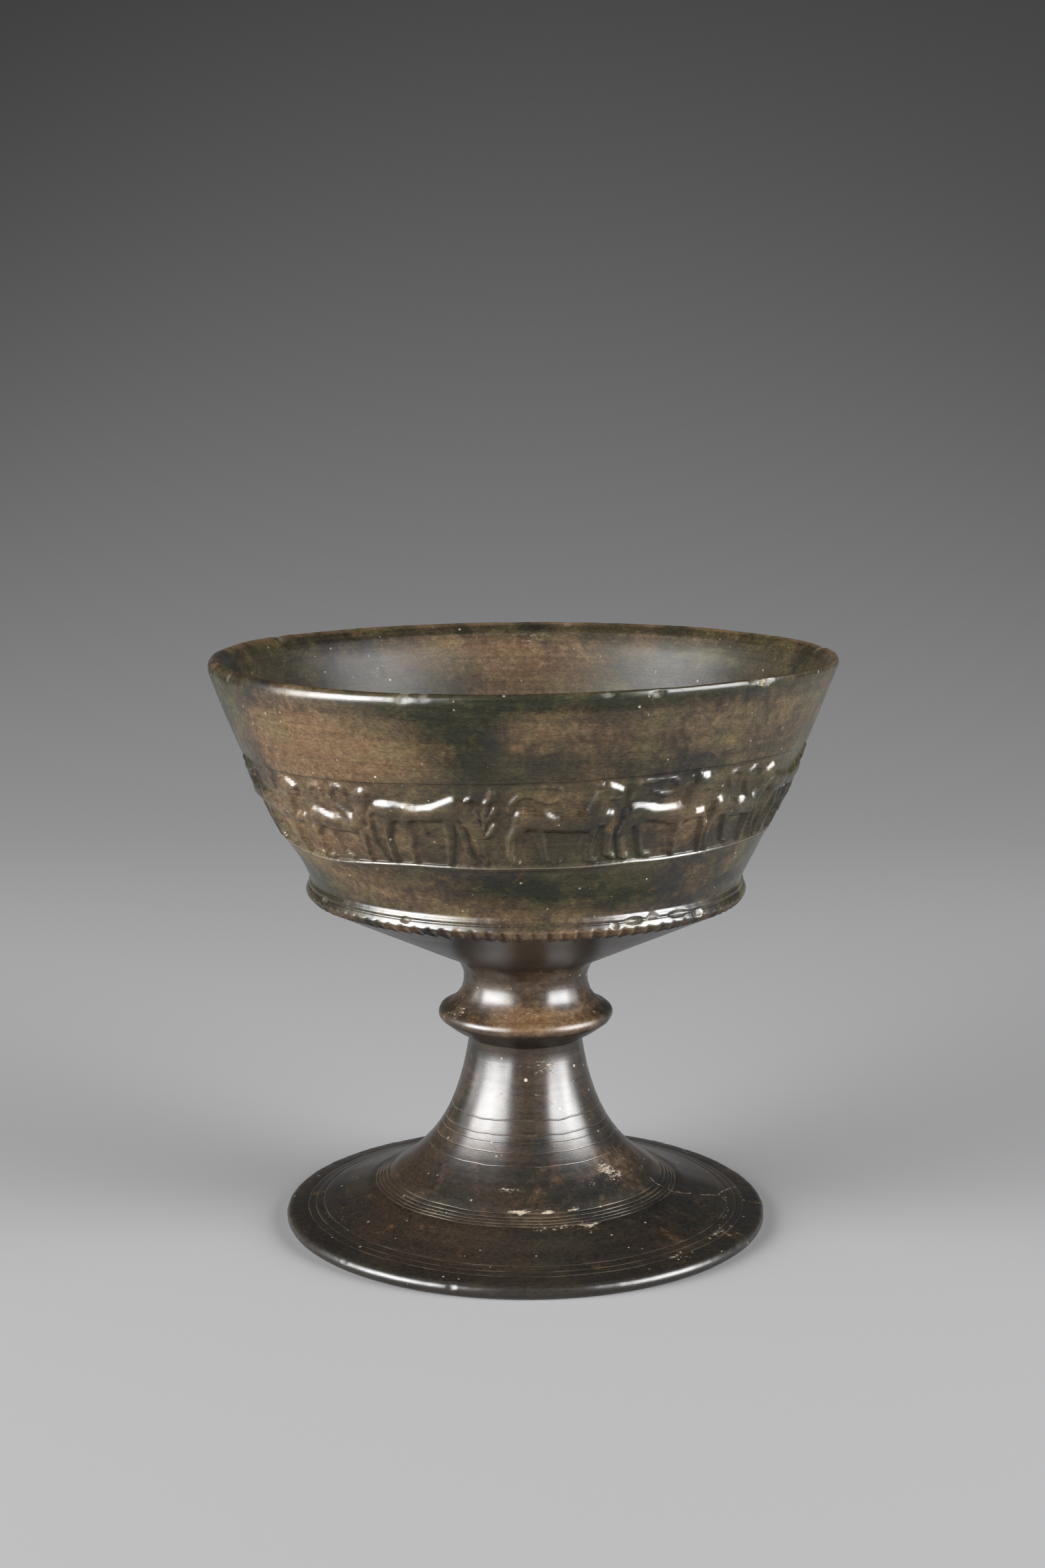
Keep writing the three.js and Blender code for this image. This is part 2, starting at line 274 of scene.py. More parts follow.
zone("collar", np.vstack([below, collar_rim]), COARSE)
stem = np.vstack([above, flare])
zone("stem", stem, COARSE, np.resize(TURNING_MARKS, len(stem)))
ridge_foot = (RIDGE_RADIUS - 1.5, RIDGE_Z)
basin = line((STEM_TOP_RADIUS, BASIN_Z), ridge_foot, 9)[1:]
zone("basin", basin[:-1], COARSE)
zone("basin_edge", [basin[-1] - (3.4, 1.55), basin[-1] - (1.9, 0.87)], MEDIUM)
print("zones so far:", len(zones))

# %% The ridge, the wall, the frieze and the lip
UNDER_RIDGE = [(-0.9, 0.2), (-0.35, 0.7), (0.0, 1.15), (0.27, 1.6)]
LOWER_BAND = [(0.38, 1.9), (0.26, 2.35), (0.08, 2.8), (-0.12, 3.25)]
GROOVE = [(-0.24, 3.5), (-0.52, 3.68), (-0.46, 3.84)]
UPPER_BAND = [(-0.4, 4.08), (-0.42, 4.45), (-0.56, 4.85), (-0.86, 5.25)]
from_foot = np.array(UNDER_RIDGE + LOWER_BAND + GROOVE + UPPER_BAND)
ridge = from_foot * (1, RIDGE_HEIGHT / 5) + (RIDGE_RADIUS, RIDGE_Z)
ridge = np.vstack([basin[-1] - (1.0, 0.46), basin[-1] - (0.35, 0.16), ridge_foot, ridge])
zone("ridge", ridge, FINE)


def wall_rows(low, high, count):
    """Rows on the outside of the wall between two heights."""
    z = np.linspace(low, high, count)
    return np.column_stack([wall_radius(z), z])


FRIEZE_ROWS = 50
MARGIN = 1.1
MARGIN_BELOW = 2.9
zone("fillet", wall_rows(WALL_Z + 0.9, WALL_Z + 1.8, 2) + [(0.1, 0), (0.02, 0)], MEDIUM)
zone("wall_low", wall_rows(WALL_Z + 2.5, BAND_FOOT - MARGIN_BELOW - 0.9, 4), MEDIUM)
zone("frieze", wall_rows(BAND_FOOT - MARGIN_BELOW, BAND_TOP + MARGIN, FRIEZE_ROWS), FINE)
lip_z = RIM_Z - LIP / 2
zone("wall_high", wall_rows(BAND_TOP + MARGIN + 0.9, lip_z - 1.2, 6), MEDIUM)
outer = wall_radius(lip_z)
lip = bezier(
    [(outer, lip_z), (outer + 0.25, RIM_Z + 0.6), (outer - 1.5, RIM_Z + 0.6), (outer - LIP, lip_z - 0.6)],
    np.linspace(0, 1, 10),
)
zone("lip", lip, MEDIUM)
print("zones so far:", len(zones))

# %% The inside of the bowl
def inside_rows(count):
    """The wall moved inwards along its normal by a thickness that grows from the lip to the band."""
    z = np.linspace(RIM_Z - 4.2, WALL_Z + 0.4 * BASIN_WALL, count)
    slope = (wall_radius(z + 0.01) - wall_radius(z - 0.01)) / 0.02
    length = np.hypot(1, slope)
    thick = WALL + (LIP - WALL) * np.clip((z - BAND_FOOT) / (RIM_Z - BAND_FOOT), 0, 1)
    return np.column_stack([wall_radius(z) - thick / length, z + thick * slope / length])


inside = inside_rows(12)
corner = inside[-1]
floor_z = BASIN_Z + FLOOR
dish_edge = corner + (-BASIN_WALL - 1.5, -0.9 * BASIN_WALL)
bend_in = bezier([corner, corner + (-1.8, -3.0), dish_edge], np.linspace(0, 1, 4)[1:])
slope_in = bezier([bend_in[-1], (FLOOR_RADIUS + 6, floor_z + 1.6), (3.0, floor_z)], np.linspace(0, 1, 9)[1:])
zone("inside", np.vstack([inside, bend_in, slope_in]), COARSE)

names = [name for name, points, columns, cuts in zones]
points = np.vstack([z[1] for z in zones])
counts = np.concatenate([np.full(len(z[1]), z[2]) for z in zones])
zone_of = np.concatenate([np.full(len(z[1]), i) for i, z in enumerate(zones)])
cuts = np.concatenate([z[3] for z in zones])
triangles = 2 * np.sum(np.minimum(counts[1:], counts[:-1]) + np.abs(np.diff(counts)) // 2)
print(len(points), "rows,", int(triangles), "triangles")

# %% [markdown]
# ## From rows to a ring of vertices
#
# Each row becomes a ring. Every vertex keeps its own angle, its height on the profile, its row and
# the profile's normal there, and all later shaping reads those arrays. The angle is counted in
# degrees from the front, growing towards the right-hand side.

# %% One flat array of vertices
tangent = np.gradient(points, axis=0)
tangent /= np.linalg.norm(tangent, axis=1)[:, None]
row_normal = np.column_stack([tangent[:, 1], -tangent[:, 0]])

row = np.repeat(np.arange(len(points)), counts)
first = np.concatenate([[0], np.cumsum(counts)[:-1]])
column = np.arange(len(row)) - first[row]
theta = (column / counts[row]) * 360.0 - 180.0
radius = points[row, 0]
height = points[row, 1]
normal_r = row_normal[row, 0]
normal_z = row_normal[row, 1]
where = zone_of[row]
zone_index = {name: i for i, name in enumerate(names)}
offset = -cuts[row]
print(len(row), "vertices on rings")

# %% [markdown]
# ## Smooth unevenness
#
# Hand-burnished clay is never a perfect surface of revolution. A few waves with different numbers of
# crests round the pot and up its height, with fixed phases, give a surface that a highlight wanders
# over, as it does on the real one.

# %% Waves that close round the pot
def waves(angle, level, seed, around, up, power=1.0):
    """Sum of cosines: each term has a whole number of crests round the pot and some up its height."""
    rng = np.random.default_rng(seed)
    total = np.zeros_like(angle)
    weight = 0.0
    for crests in around:
        amount = crests**-power
        rise = rng.uniform(-up, up)
        phase = rng.uniform(0, 2 * np.pi)
        total += amount * np.cos(np.radians(angle) * crests + rise * level + phase)
        weight += amount
    return total / weight


unevenness = 0.22 * waves(theta, height, 3, (2, 3, 5, 7), 0.05)
unevenness += 0.10 * waves(theta, height, 5, (11, 14, 19, 23), 0.25)
print("unevenness from", round(float(unevenness.min()), 2), "to", round(float(unevenness.max()), 2), "mm")

# %% [markdown]
# ## The figures of the frieze
#
# The roller was engraved with a bull, a plant, two lions and a winged sphinx, and its print repeats
# each quarter turn. Sculpting them by hand would give thousands of fixed points. Instead a figure is
# a short list of limbs: each limb is a path with a half width at each joint, in shares of the band's
# height, and the height field of a limb is a dome over the distance to its path.

# %% Limbs and the curve of a tail or wing
def limb(lift, *joints):
    """A limb of relief: how far it stands out in millimetres, and its joints (x, y, half width)."""
    return lift, np.array(joints, float)


def sweep(center, reach, start, stop, count, wide, narrow):
    """Joints on an ellipse: centre plus reach times (cosine, sine), tapering from wide to narrow."""
    a = np.radians(np.linspace(start, stop, count))
    x = center[0] + reach[0] * np.cos(a)
    y = center[1] + reach[1] * np.sin(a)
    return [tuple(j) for j in np.column_stack([x, y, np.linspace(wide, narrow, count)])]


def moved(limbs, dx):
    """The same limbs, dx further to the right."""
    return [(lift, joints + (dx, 0, 0)) for lift, joints in limbs]


print("a tail starts at", np.round(sweep((0.2, 0.7), (0.2, 0.15), 190, 60, 6, 0.03, 0.02)[0], 2))

# %% The bull, which grazes
SHANK = 0.037


def bull():
    """A heavy trunk, a lowered head and four straight legs, with the tail hanging behind."""
    return [
        limb(1.45, (0.21, 0.68, 0.115), (0.36, 0.66, 0.125), (0.667, 0.641, 0.098),
             (0.9, 0.665, 0.12), (1.06, 0.70, 0.155)),
        limb(1.25, (1.08, 0.72, 0.14), (1.18, 0.66, 0.115), (1.262, 0.50, 0.085),
             (1.30, 0.314, 0.058), (1.312, 0.19, 0.046)),
        limb(0.9, (1.20, 0.80, 0.03), (1.27, 0.85, 0.022)),
        limb(0.9, (1.16, 0.66, 0.03), (1.10, 0.60, 0.03)),
        limb(0.75, (0.156, 0.735, 0.04), (0.033, 0.605, 0.033), (0.0, 0.404, 0.030),
             (0.056, 0.20, 0.032), (0.095, 0.08, 0.045)),
        limb(1.1, (0.27, 0.60, 0.10), (0.245, 0.50, 0.082), (0.205, 0.345, 0.045),
             (0.206, 0.09, SHANK), (0.24, 0.045, 0.042)),
        limb(0.85, (0.467, 0.54, 0.065), (0.523, 0.35, 0.042), (0.484, 0.18, 0.034), (0.506, 0.05, 0.036)),
        limb(1.05, (0.99, 0.56, 0.075), (0.967, 0.27, 0.042), (0.934, 0.05, 0.038)),
        limb(0.85, (1.10, 0.56, 0.06), (1.15, 0.27, 0.041), (1.205, 0.05, 0.037)),
        limb(0.7, (0.64, 0.54, 0.028), (0.706, 0.44, 0.04)),
    ]


print(len(bull()), "limbs in the bull")

# %% The lions, one standing and one stepping
def lion():
    """A lean trunk, raised head with an open mouth, and a tail that curls over the back."""
    tail = sweep((0.206, 0.692), (0.19, 0.165), 190, 60, 8, 0.034, 0.03)
    tail += sweep((0.434, 0.862), (0.128, 0.094), 225, 470, 12, 0.03, 0.024)
    return [
        limb(1.4, (0.15, 0.585, 0.11), (0.32, 0.55, 0.128), (0.58, 0.505, 0.10), (0.85, 0.525, 0.135),
             (0.98, 0.56, 0.13)),
        limb(1.3, (0.945, 0.62, 0.125), (1.006, 0.80, 0.105), (1.05, 0.865, 0.10)),
        limb(1.15, (1.08, 0.875, 0.075), (1.20, 0.845, 0.04)),
        limb(0.9, (1.10, 0.80, 0.05), (1.18, 0.765, 0.028)),
        limb(1.0, (0.956, 0.93, 0.032), (0.985, 0.965, 0.022)),
        limb(0.62, *tail),
        limb(1.2, (0.17, 0.54, 0.105), (0.12, 0.48, 0.085), (0.017, 0.354, 0.047),
             (0.017, 0.16, 0.035), (0.05, 0.07, 0.036), (0.11, 0.05, 0.034)),
        limb(0.85, (0.31, 0.47, 0.078), (0.372, 0.27, 0.043), (0.422, 0.12, 0.033),
             (0.47, 0.065, 0.034), (0.584, 0.055, 0.032)),
        limb(1.15, (1.10, 0.56, 0.085), (1.134, 0.314, 0.055), (1.145, 0.13, 0.043), (1.229, 0.07, 0.038)),
        limb(0.85, (0.94, 0.42, 0.065), (0.917, 0.224, 0.045), (0.94, 0.07, 0.038), (1.017, 0.052, 0.033)),
    ]


def stepping_lion():
    """The same animal with its near foreleg raised and set down ahead, and a hooked tail."""
    tail = sweep((0.222, 0.781), (0.178, 0.156), 200, 100, 7, 0.034, 0.03)
    tail += sweep((0.50, 0.853), (0.122, 0.089), 90, -90, 9, 0.03, 0.024) + [(0.278, 0.795, 0.02)]
    return [
        limb(1.4, (0.10, 0.574, 0.118), (0.361, 0.556, 0.10), (0.62, 0.511, 0.115), (0.806, 0.56, 0.13)),
        limb(1.3, (0.83, 0.66, 0.12), (0.88, 0.80, 0.105), (0.935, 0.868, 0.10)),
        limb(1.15, (0.96, 0.875, 0.075), (1.085, 0.855, 0.04)),
        limb(0.9, (0.98, 0.80, 0.05), (1.06, 0.775, 0.028)),
        limb(1.0, (0.84, 0.93, 0.032), (0.865, 0.965, 0.022)),
        limb(0.62, *tail),
        limb(1.2, (0.13, 0.53, 0.105), (0.072, 0.47, 0.085), (-0.017, 0.341, 0.045),
             (0.022, 0.18, 0.035), (0.05, 0.08, 0.036), (0.11, 0.055, 0.034)),
        limb(0.85, (0.195, 0.44, 0.07), (0.228, 0.269, 0.045), (0.284, 0.15, 0.037),
             (0.33, 0.07, 0.036), (0.417, 0.055, 0.034)),
        limb(1.0, (0.74, 0.42, 0.068), (0.717, 0.206, 0.05), (0.762, 0.063, 0.042)),
        limb(1.1, (0.87, 0.47, 0.07), (1.04, 0.50, 0.048), (1.123, 0.368, 0.04), (1.134, 0.16, 0.036),
             (1.185, 0.06, 0.035)),
    ]


print(len(lion()) + len(stepping_lion()), "limbs in the lions")

# %% The sphinx, with a plain head and a curled wing
def sphinx():
    """A lion's body, an upright head with hair to the shoulder, and a wing swept up and forward."""
    wing = [(0.78, 0.44, 0.05), (0.68, 0.52, 0.055), (0.584, 0.605, 0.05), (0.50, 0.70, 0.046)]
    wing += [(0.473, 0.78, 0.043), (0.489, 0.86, 0.04), (0.54, 0.915, 0.037), (0.61, 0.93, 0.035)]
    wing += [(0.68, 0.90, 0.032), (0.70, 0.83, 0.03)]
    return [
        limb(1.35, (0.12, 0.538, 0.12), (0.417, 0.475, 0.10), (0.70, 0.47, 0.12)),
        limb(1.2, (0.80, 0.53, 0.10), (0.87, 0.66, 0.085), (0.93, 0.80, 0.09), (0.945, 0.835, 0.095)),
        limb(0.9, (1.02, 0.80, 0.035), (1.045, 0.785, 0.025)),
        limb(0.95, (0.86, 0.82, 0.06), (0.825, 0.72, 0.05), (0.80, 0.56, 0.045)),
        limb(0.8, *wing),
        limb(0.6, *sweep((0.25, 0.833), (0.095, 0.085), 250, -20, 8, 0.034, 0.026)),
        limb(1.15, (0.15, 0.51, 0.10), (0.083, 0.45, 0.08), (0.022, 0.332, 0.045),
             (0.05, 0.17, 0.035), (0.08, 0.07, 0.035), (0.139, 0.05, 0.033)),
        limb(0.8, (0.295, 0.43, 0.06), (0.339, 0.269, 0.04), (0.395, 0.12, 0.034), (0.50, 0.055, 0.032)),
        limb(0.9, (0.79, 0.39, 0.05), (0.773, 0.18, 0.036), (0.80, 0.054, 0.035)),
        limb(1.0, (0.855, 0.42, 0.06), (0.962, 0.206, 0.044), (1.05, 0.054, 0.039)),
    ]


print(len(sphinx()), "limbs in the sphinx")

# %% The plant
def plant():
    """A stem that bends from side to side, with a long leaf to the right at each of three nodes."""
    lower = [(0.033, 0.036, 0.027), (0.0, 0.20, 0.027), (0.006, 0.38, 0.029), (0.05, 0.55, 0.028)]
    upper = [(0.061, 0.673, 0.027), (0.10, 0.80, 0.026), (0.139, 0.93, 0.024)]
    stem = limb(0.85, *lower, *upper)
    leaves = []
    for y in (0.38, 0.56, 0.76):
        leaves.append(limb(0.95, (0.05, y, 0.022), (0.11, y + 0.05, 0.036), (0.17, y + 0.15, 0.024)))
        leaves.append(limb(0.7, (0.03, y + 0.02, 0.018), (-0.04, y + 0.07, 0.028), (-0.07, y + 0.15, 0.018)))
    return [stem] + leaves


ROLLER = [(0.0, bull()), (24.0, plant()), (29.5, lion()), (52.5, stepping_lion()), (73.5, sphinx())]
procession = []
for start, figure in ROLLER:
    procession += moved(figure, start * DEGREE)
print(len(procession), "limbs in one print of the roller")

# %% [markdown]
# ## The height field
#
# For a point of the wall, its distance to a limb's path divided by the limb's half width there is 0
# on the path and 1 at the limb's edge. A dome with steep sides over that ratio is what a pressed
# figure looks like. Limbs that overlap are joined by a soft maximum, so that a leg grows out of its
# shoulder.

# %% Relief of one print at many points at once
def limb_height(x, y, lift, joints):
    """Lift times (1 minus q to the 2.2) to the 0.62, q being the distance over the half width."""
    nearest = np.full(x.shape, 9.0)
    for (ax, ay, aw), (bx, by, bw) in zip(joints[:-1], joints[1:]):
        dx, dy = bx - ax, by - ay
        t = np.clip(((x - ax) * dx + (y - ay) * dy) / (dx * dx + dy * dy), 0, 1)
        away = np.hypot(x - ax - t * dx, y - ay - t * dy)
        nearest = np.minimum(nearest, away / (aw + t * (bw - aw)))
    return lift * np.clip(1 - nearest**2.2, 0, 1) ** 0.62


def print_height(x, y, limbs):
    """Soft maximum of all limbs: the sixth root of the sum of their sixth powers."""
    total = np.zeros(x.shape)
    for lift, joints in limbs:
        reach = joints[:, 2].max()
        near = (x > joints[:, 0].min() - reach) & (x < joints[:, 0].max() + reach)
        total[near] += limb_height(x[near], y[near], lift, joints) ** 6
    return total ** (1 / 6)


def band_edges(angle):
    """Lower and upper border of the band: the roller wandered up and down a little round the pot."""
    drift = 0.55 * np.cos(np.radians(angle - 20)) - 0.35 * np.cos(np.radians(2 * angle + 15)) - 0.45
    dip = np.exp(-(((angle + 53) / 17) ** 2))
    low = BAND_FOOT + drift - 1.9 * dip + 0.16 * waves(angle, 0 * angle, 21, (9, 13, 17, 29), 0)
    high = BAND_TOP + 0.8 * drift - 0.9 * dip + 0.12 * waves(angle, 0 * angle, 22, (8, 15, 21, 31), 0)
    return low, high


band = where == zone_index["frieze"]
low_edge, high_edge = band_edges(theta[band])
share = (height[band] - low_edge) / (high_edge - low_edge)
turn_share = ((theta[band] - FRIEZE_TURN) % (360 / IMPRESSIONS)) * DEGREE
repeat = 360 / IMPRESSIONS * DEGREE
bend = 0.007 * waves(theta[band], height[band], 31, (7, 12, 19), 0.2)
bend += 0.011 * waves(theta[band], height[band], 32, (37, 53, 71, 95), 0.9, 0.4)
bend *= 1.2
figures = np.zeros(band.sum())
for shift in (-repeat, 0.0, repeat):
    figures = np.maximum(figures, print_height(turn_share + bend + shift, share + bend, procession))
print("figures stand up to", round(float(figures.max()), 2), "mm high")

# %% [markdown]
# The ground between the borders is pressed in a little by the roller. Its lower border is a thin
# welt of clay squeezed out beside the roller, and its upper border is only a small step.

# %% Ground, borders and wear
WELT = 0.34
GROUND = 0.42
above_low = height[band] - low_edge
below_high = high_edge - height[band]
inside_band = ease(above_low / 0.7 + 0.2) * ease(below_high / 0.5 + 0.2)
welt = np.exp(-((above_low + 0.25) / 0.6) ** 2)
welt *= 1 + 0.35 * waves(theta[band], height[band], 41, (5, 16, 33, 47), 0)
wear = 1 + 0.12 * waves(theta[band], height[band], 42, (3, 8, 14, 27), 0.3)
wear += 0.16 * waves(theta[band], height[band], 44, (31, 47, 59, 83), 0.9, 0.3)
pits = 0.05 * waves(theta[band], height[band], 43, (83, 97, 131, 151), 3.0, 0.5)
relief = np.zeros(len(row))
figures *= ease((above_low - 0.25) / 0.9)
smeared = np.exp(-(((theta[band] - 280) / 14) ** 2))
pressed = figures * wear * (1 - 0.45 * smeared) - GROUND * (1 - 0.9 * smeared) + pits
relief[band] = inside_band * pressed + WELT * welt
offset += relief
print("relief from", round(float(relief.min()), 2), "to", round(float(relief.max()), 2), "mm")

# %% [markdown]
# ## The notched ridge
#
# After the ridge was turned, the potter pressed a blade against its lower edge 96 times. A notch is
# a V with one steep and one gentle side. It is deepest just over the ridge's foot, and runs out on
# the ridge's face above and on the bowl's underside below.

# %% Notches as a cut in the radius
NOTCH_DEPTH = 1.4
NOTCH_HEIGHT = 2.45
NOTCH_STEEP = 0.8
NOTCH_GENTLE = 2.1
pitch = 360 / NOTCHES
pitch_mm = np.radians(pitch) * RIDGE_RADIUS
number = np.floor(theta / pitch).astype(int) % NOTCHES
rng = np.random.default_rng(8)
depth_of = NOTCH_DEPTH * rng.uniform(0.72, 1.1, NOTCHES)
slip_of = rng.uniform(-0.22, 0.22, NOTCHES)

across = ((theta / pitch) % 1 - 0.5) * pitch_mm - slip_of[number] + 0.22 * (height - RIDGE_Z)
bank = np.where(across > 0, across / NOTCH_GENTLE, -across / NOTCH_STEEP)
over_foot = height - RIDGE_Z
fade = np.clip((NOTCH_HEIGHT - over_foot) / 1.1, 0, 1) * np.clip((over_foot + 0.9) / 1.0, 0, 1)
at_ridge = where == zone_index["ridge"]
notch_cut = np.clip(depth_of[number] * fade - bank, 0, None) * at_ridge
print("deepest notch", round(float(notch_cut.max()), 2), "mm")

# %% [markdown]
# ## Damage
#
# Chips at the lip, bruises on the ridge and nicks at the foot are shallow scoops. Each one is given as
# an angle, a height, its half width and half height in millimetres and its depth. The
# scoop's depth falls from its middle to its edge like one minus the square of the distance, and a
# ragged wave breaks its outline.

# %% Scoops out of the surface
def scoop(angle, level, half_width, half_height, depth):
    """Depth times (1 - q squared), q being the elliptical distance to the scoop's middle."""
    turn = (theta - angle + 180) % 360 - 180
    across = np.radians(turn) * radius
    seed = int(abs(angle) * 7) + 50
    ragged = 1 + 0.25 * waves(theta, height, seed, (61, 73, 89, 113), 1.5, 0.5)
    q = ((across / half_width) ** 2 + ((height - level) / half_height) ** 2) * ragged
    return depth * np.clip(1 - q, 0, 1)


LIP_CHIPS = [
    (-20.5, RIM_Z - 0.7, 2, 1.1, 0.45), (-17, RIM_Z - 0.5, 1.4, 0.8, 0.3),
    (22.1, RIM_Z - 1.2, 1.1, 0.9, 0.8), (13.5, RIM_Z - 0.8, 1.8, 0.9, 0.35),
    (45, RIM_Z - 1, 2.4, 1.4, 0.6), (41.8, RIM_Z - 0.3, 1.5, 1.1, 0.6),
    (-63, RIM_Z - 0.7, 1.4, 0.8, 0.3), (100, RIM_Z - 0.6, 3, 1.2, 0.35),
    (-121, RIM_Z - 0.5, 2.6, 1.2, 0.22), (171, RIM_Z - 0.5, 2, 1.1, 0.2),
]
RIDGE_BRUISES = [
    (-31, RIDGE_Z + 3.6, 1.5, 0.6, 0.45), (22, RIDGE_Z + 3, 1.1, 0.9, 0.5),
    (27.5, RIDGE_Z + 3.9, 2.6, 0.9, 0.75), (33, RIDGE_Z + 4.3, 2, 0.8, 0.7),
    (41, RIDGE_Z + 4, 3.6, 0.9, 0.55), (48, RIDGE_Z + 2.9, 2, 1.2, 0.6),
    (-63, RIDGE_Z + 3.4, 2.2, 0.9, 0.4), (104, RIDGE_Z + 3.5, 3, 1.1, 0.6),
    (-152, RIDGE_Z + 3.2, 2.4, 1, 0.5),
]
FOOT_NICKS = [
    (-16.7, 2.6, 0.8, 1, 0.55), (-46, 3, 0.8, 0.7, 0.4), (-62, 3.2, 1.1, 0.8, 0.3),
    (58, 3, 1.4, 0.8, 0.3), (139, 2.6, 2.2, 1.2, 0.5),
]
damage = np.zeros(len(row))
at_lip = where >= zone_index["wall_high"]
at_edge = (where == zone_index["edge"]) | (where == zone_index["foot"])
for places, side in ((LIP_CHIPS, at_lip), (RIDGE_BRUISES, at_ridge), (FOOT_NICKS, at_edge)):
    for place in places:
        damage += scoop(*place) * side
print("vertices in chips:", int(np.count_nonzero(damage)))

# %% Edges rubbed uneven, and the crooked rim
edge_wear = 1.0 * (where == zone_index["lip"]) + (where == zone_index["edge"]) + 0.45 * at_ridge
rub = 0.07 * waves(theta, height, 61, (37, 53, 71, 97, 127), 0.8, 0.4) * edge_wear
standing = ease((height - 0.3) / 2.0)
offset += (unevenness + rub) * standing - damage

SWELL = 1.45
CROOKED_FROM = 98
CROOKED_OVER = 55
turn = np.radians(theta)
leftness = np.clip((1 - np.sin(turn)) / 2, 0, 1)
left_swell = SWELL * leftness**1.6 * ease((height - CROOKED_FROM - 3) / 12) - 0.15
offset += np.where(height > CROOKED_FROM, left_swell * ease((height - CROOKED_FROM) / 4), 0)
lift = 1.12 * np.sin(turn) + 0.32 * np.sin(3 * turn) + 0.37 * np.sin(2 * turn)
warp = lift * ease((height - CROOKED_FROM) / CROOKED_OVER)
print("the rim moves between", round(float(warp.min()), 2), "and", round(float(warp.max()), 2), "mm")

# %% [markdown]
# ## The mesh
#
# Every vertex moves along the profile's normal by its offset, the notches move it straight in, and
# the warp lifts it. Two rings with the same number of columns are joined by squares. Where one ring
# has twice as many, each wide cell becomes three triangles. The two ends on the axis are closed with
# a fan round a single vertex.

# %% Vertices in metres
moved_r = radius + offset * normal_r - notch_cut
moved_z = np.maximum(height + offset * normal_z + warp, 0.0)
ring = np.column_stack([moved_r * np.sin(turn), -moved_r * np.cos(turn), moved_z])
crown_top = [0.0, 0.0, HOLLOW_TOP]
floor_middle = [0.0, 0.0, float(moved_z[-1])]
vertices = np.vstack([ring, [crown_top, floor_middle]]) * MM
CROWN = len(ring)
FLOOR_MIDDLE = len(ring) + 1
print("mesh box in mm:", np.round(vertices.min(axis=0) / MM, 1), np.round(vertices.max(axis=0) / MM, 1))


# %% Faces between rings
def squares(low, high, count):
    """Squares between two rings of the same count: along the lower ring, then back along the upper."""
    j = np.arange(count)
    k = (j + 1) % count
    return np.column_stack([low + j, low + k, high + k, high + j])


def stitch(wide, fine, count, wide_is_low):
    """Three triangles for each cell of the wide ring, against two cells of the fine ring."""
    j = np.arange(count)
    k = (j + 1) % count
    a, b = wide + j, wide + k
    c, d, e = fine + 2 * j, fine + 2 * j + 1, fine + (2 * j + 2) % (2 * count)
    if wide_is_low:
        return np.vstack([np.column_stack(t) for t in ((a, d, c), (a, b, d), (b, e, d))])
    return np.vstack([np.column_stack(t) for t in ((c, d, a), (d, b, a), (d, e, b))])


quads, tris = [], []
for i in range(len(points) - 1):
    low, high, lower, upper = first[i], first[i + 1], counts[i], counts[i + 1]
    if lower == upper:
        quads.append(squares(low, high, lower))
    elif lower < upper:
        tris.append(stitch(low, high, lower, True))
    else:
        tris.append(stitch(high, low, upper, False))
j = np.arange(COARSE)
k = (j + 1) % COARSE
tris.append(np.column_stack([first[0] + k, first[0] + j, np.full(COARSE, CROWN)]))
tris.append(np.column_stack([first[-1] + j, first[-1] + k, np.full(COARSE, FLOOR_MIDDLE)]))
quads = np.vstack(quads)
tris = np.vstack(tris)
print(len(quads), "squares and", len(tris), "triangles:", 2 * len(quads) + len(tris), "in triangles")

# %% Into Blender
mesh = bpy.data.meshes.new("chalice_clay")
mesh.from_pydata(vertices.tolist(), [], quads.tolist() + tris.tolist())
mesh.update()
mesh.shade_smooth()
chalice = bpy.data.objects.new("chalice_clay", mesh)
bpy.context.scene.collection.objects.link(chalice)
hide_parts("chalice")
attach(chalice, "root")
print("the clay replaces the solid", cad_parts["chalice"].name)

# %% [markdown]
# ## Where the skin changes
#
# The clay is black-brown all over, but the fire and the ground stained it in patches: orange-brown
# on the upper left of the bowl, green-grey beside it, near-black at the foot's left edge, and tan
# crusts on the foot. The near-black list also holds painted shade: dark rings in the crease under the
# collar and on the bowl's underside below the ridge. Each kind of patch is one number per vertex, the
# sum of soft round patches at named places. The material then breaks their edges up with noise.

# %% Patches as numbers on the vertices
OUTSIDE = (where >= zone_index["edge"]) & (where <= zone_index["lip"])
WITHIN = where == zone_index["inside"]


def patches(places, side):
    """Sum of Gaussian hills: each has a middle, a half width in degrees, one in height, a strength."""
    total = np.zeros(len(row))
    for angle, level, wide, tall, strength in places:
        across = ((theta - angle + 180) % 360 - 180) / wide
        total += strength * np.exp(-(across**2) - ((height - level) / tall) ** 2)
    return np.clip(total, 0, 1) * side


EARTH = [
    (-38, 145, 17, 11, 0.75), (-52, 138, 20, 14, 0.45), (-26, 138, 14, 6, 0.45), (2, 147, 8, 5, 0.55),
    (14, 143, 16, 9, 0.25), (40, 145, 24, 9, 0.36), (70, 138, 20, 14, 0.15), (-32, 102, 20, 4.6, 0.5),
    (-52, 107, 14, 5, 0.4), (46, 106, 14, 5, 0.25), (2, 97.5, 34, 2.6, 0.5), (8, 92.5, 22, 1.3, 1),
    (36, 120, 13, 10, 0.42), (-56, 118, 18, 9, 0.6), (5, 129, 10, 5, 0.4), (-20, 118, 30, 12, 0.3),
    (14, 60, 46, 3, 1), (6, 69, 60, 6, 0.35), (120, 140, 34, 12, 0.7), (-130, 128, 30, 14, 0.6),
    (170, 104, 40, 6, 0.7), (60, 20, 20, 4, 0.4), (10, 14, 60, 6, 0.12),
]
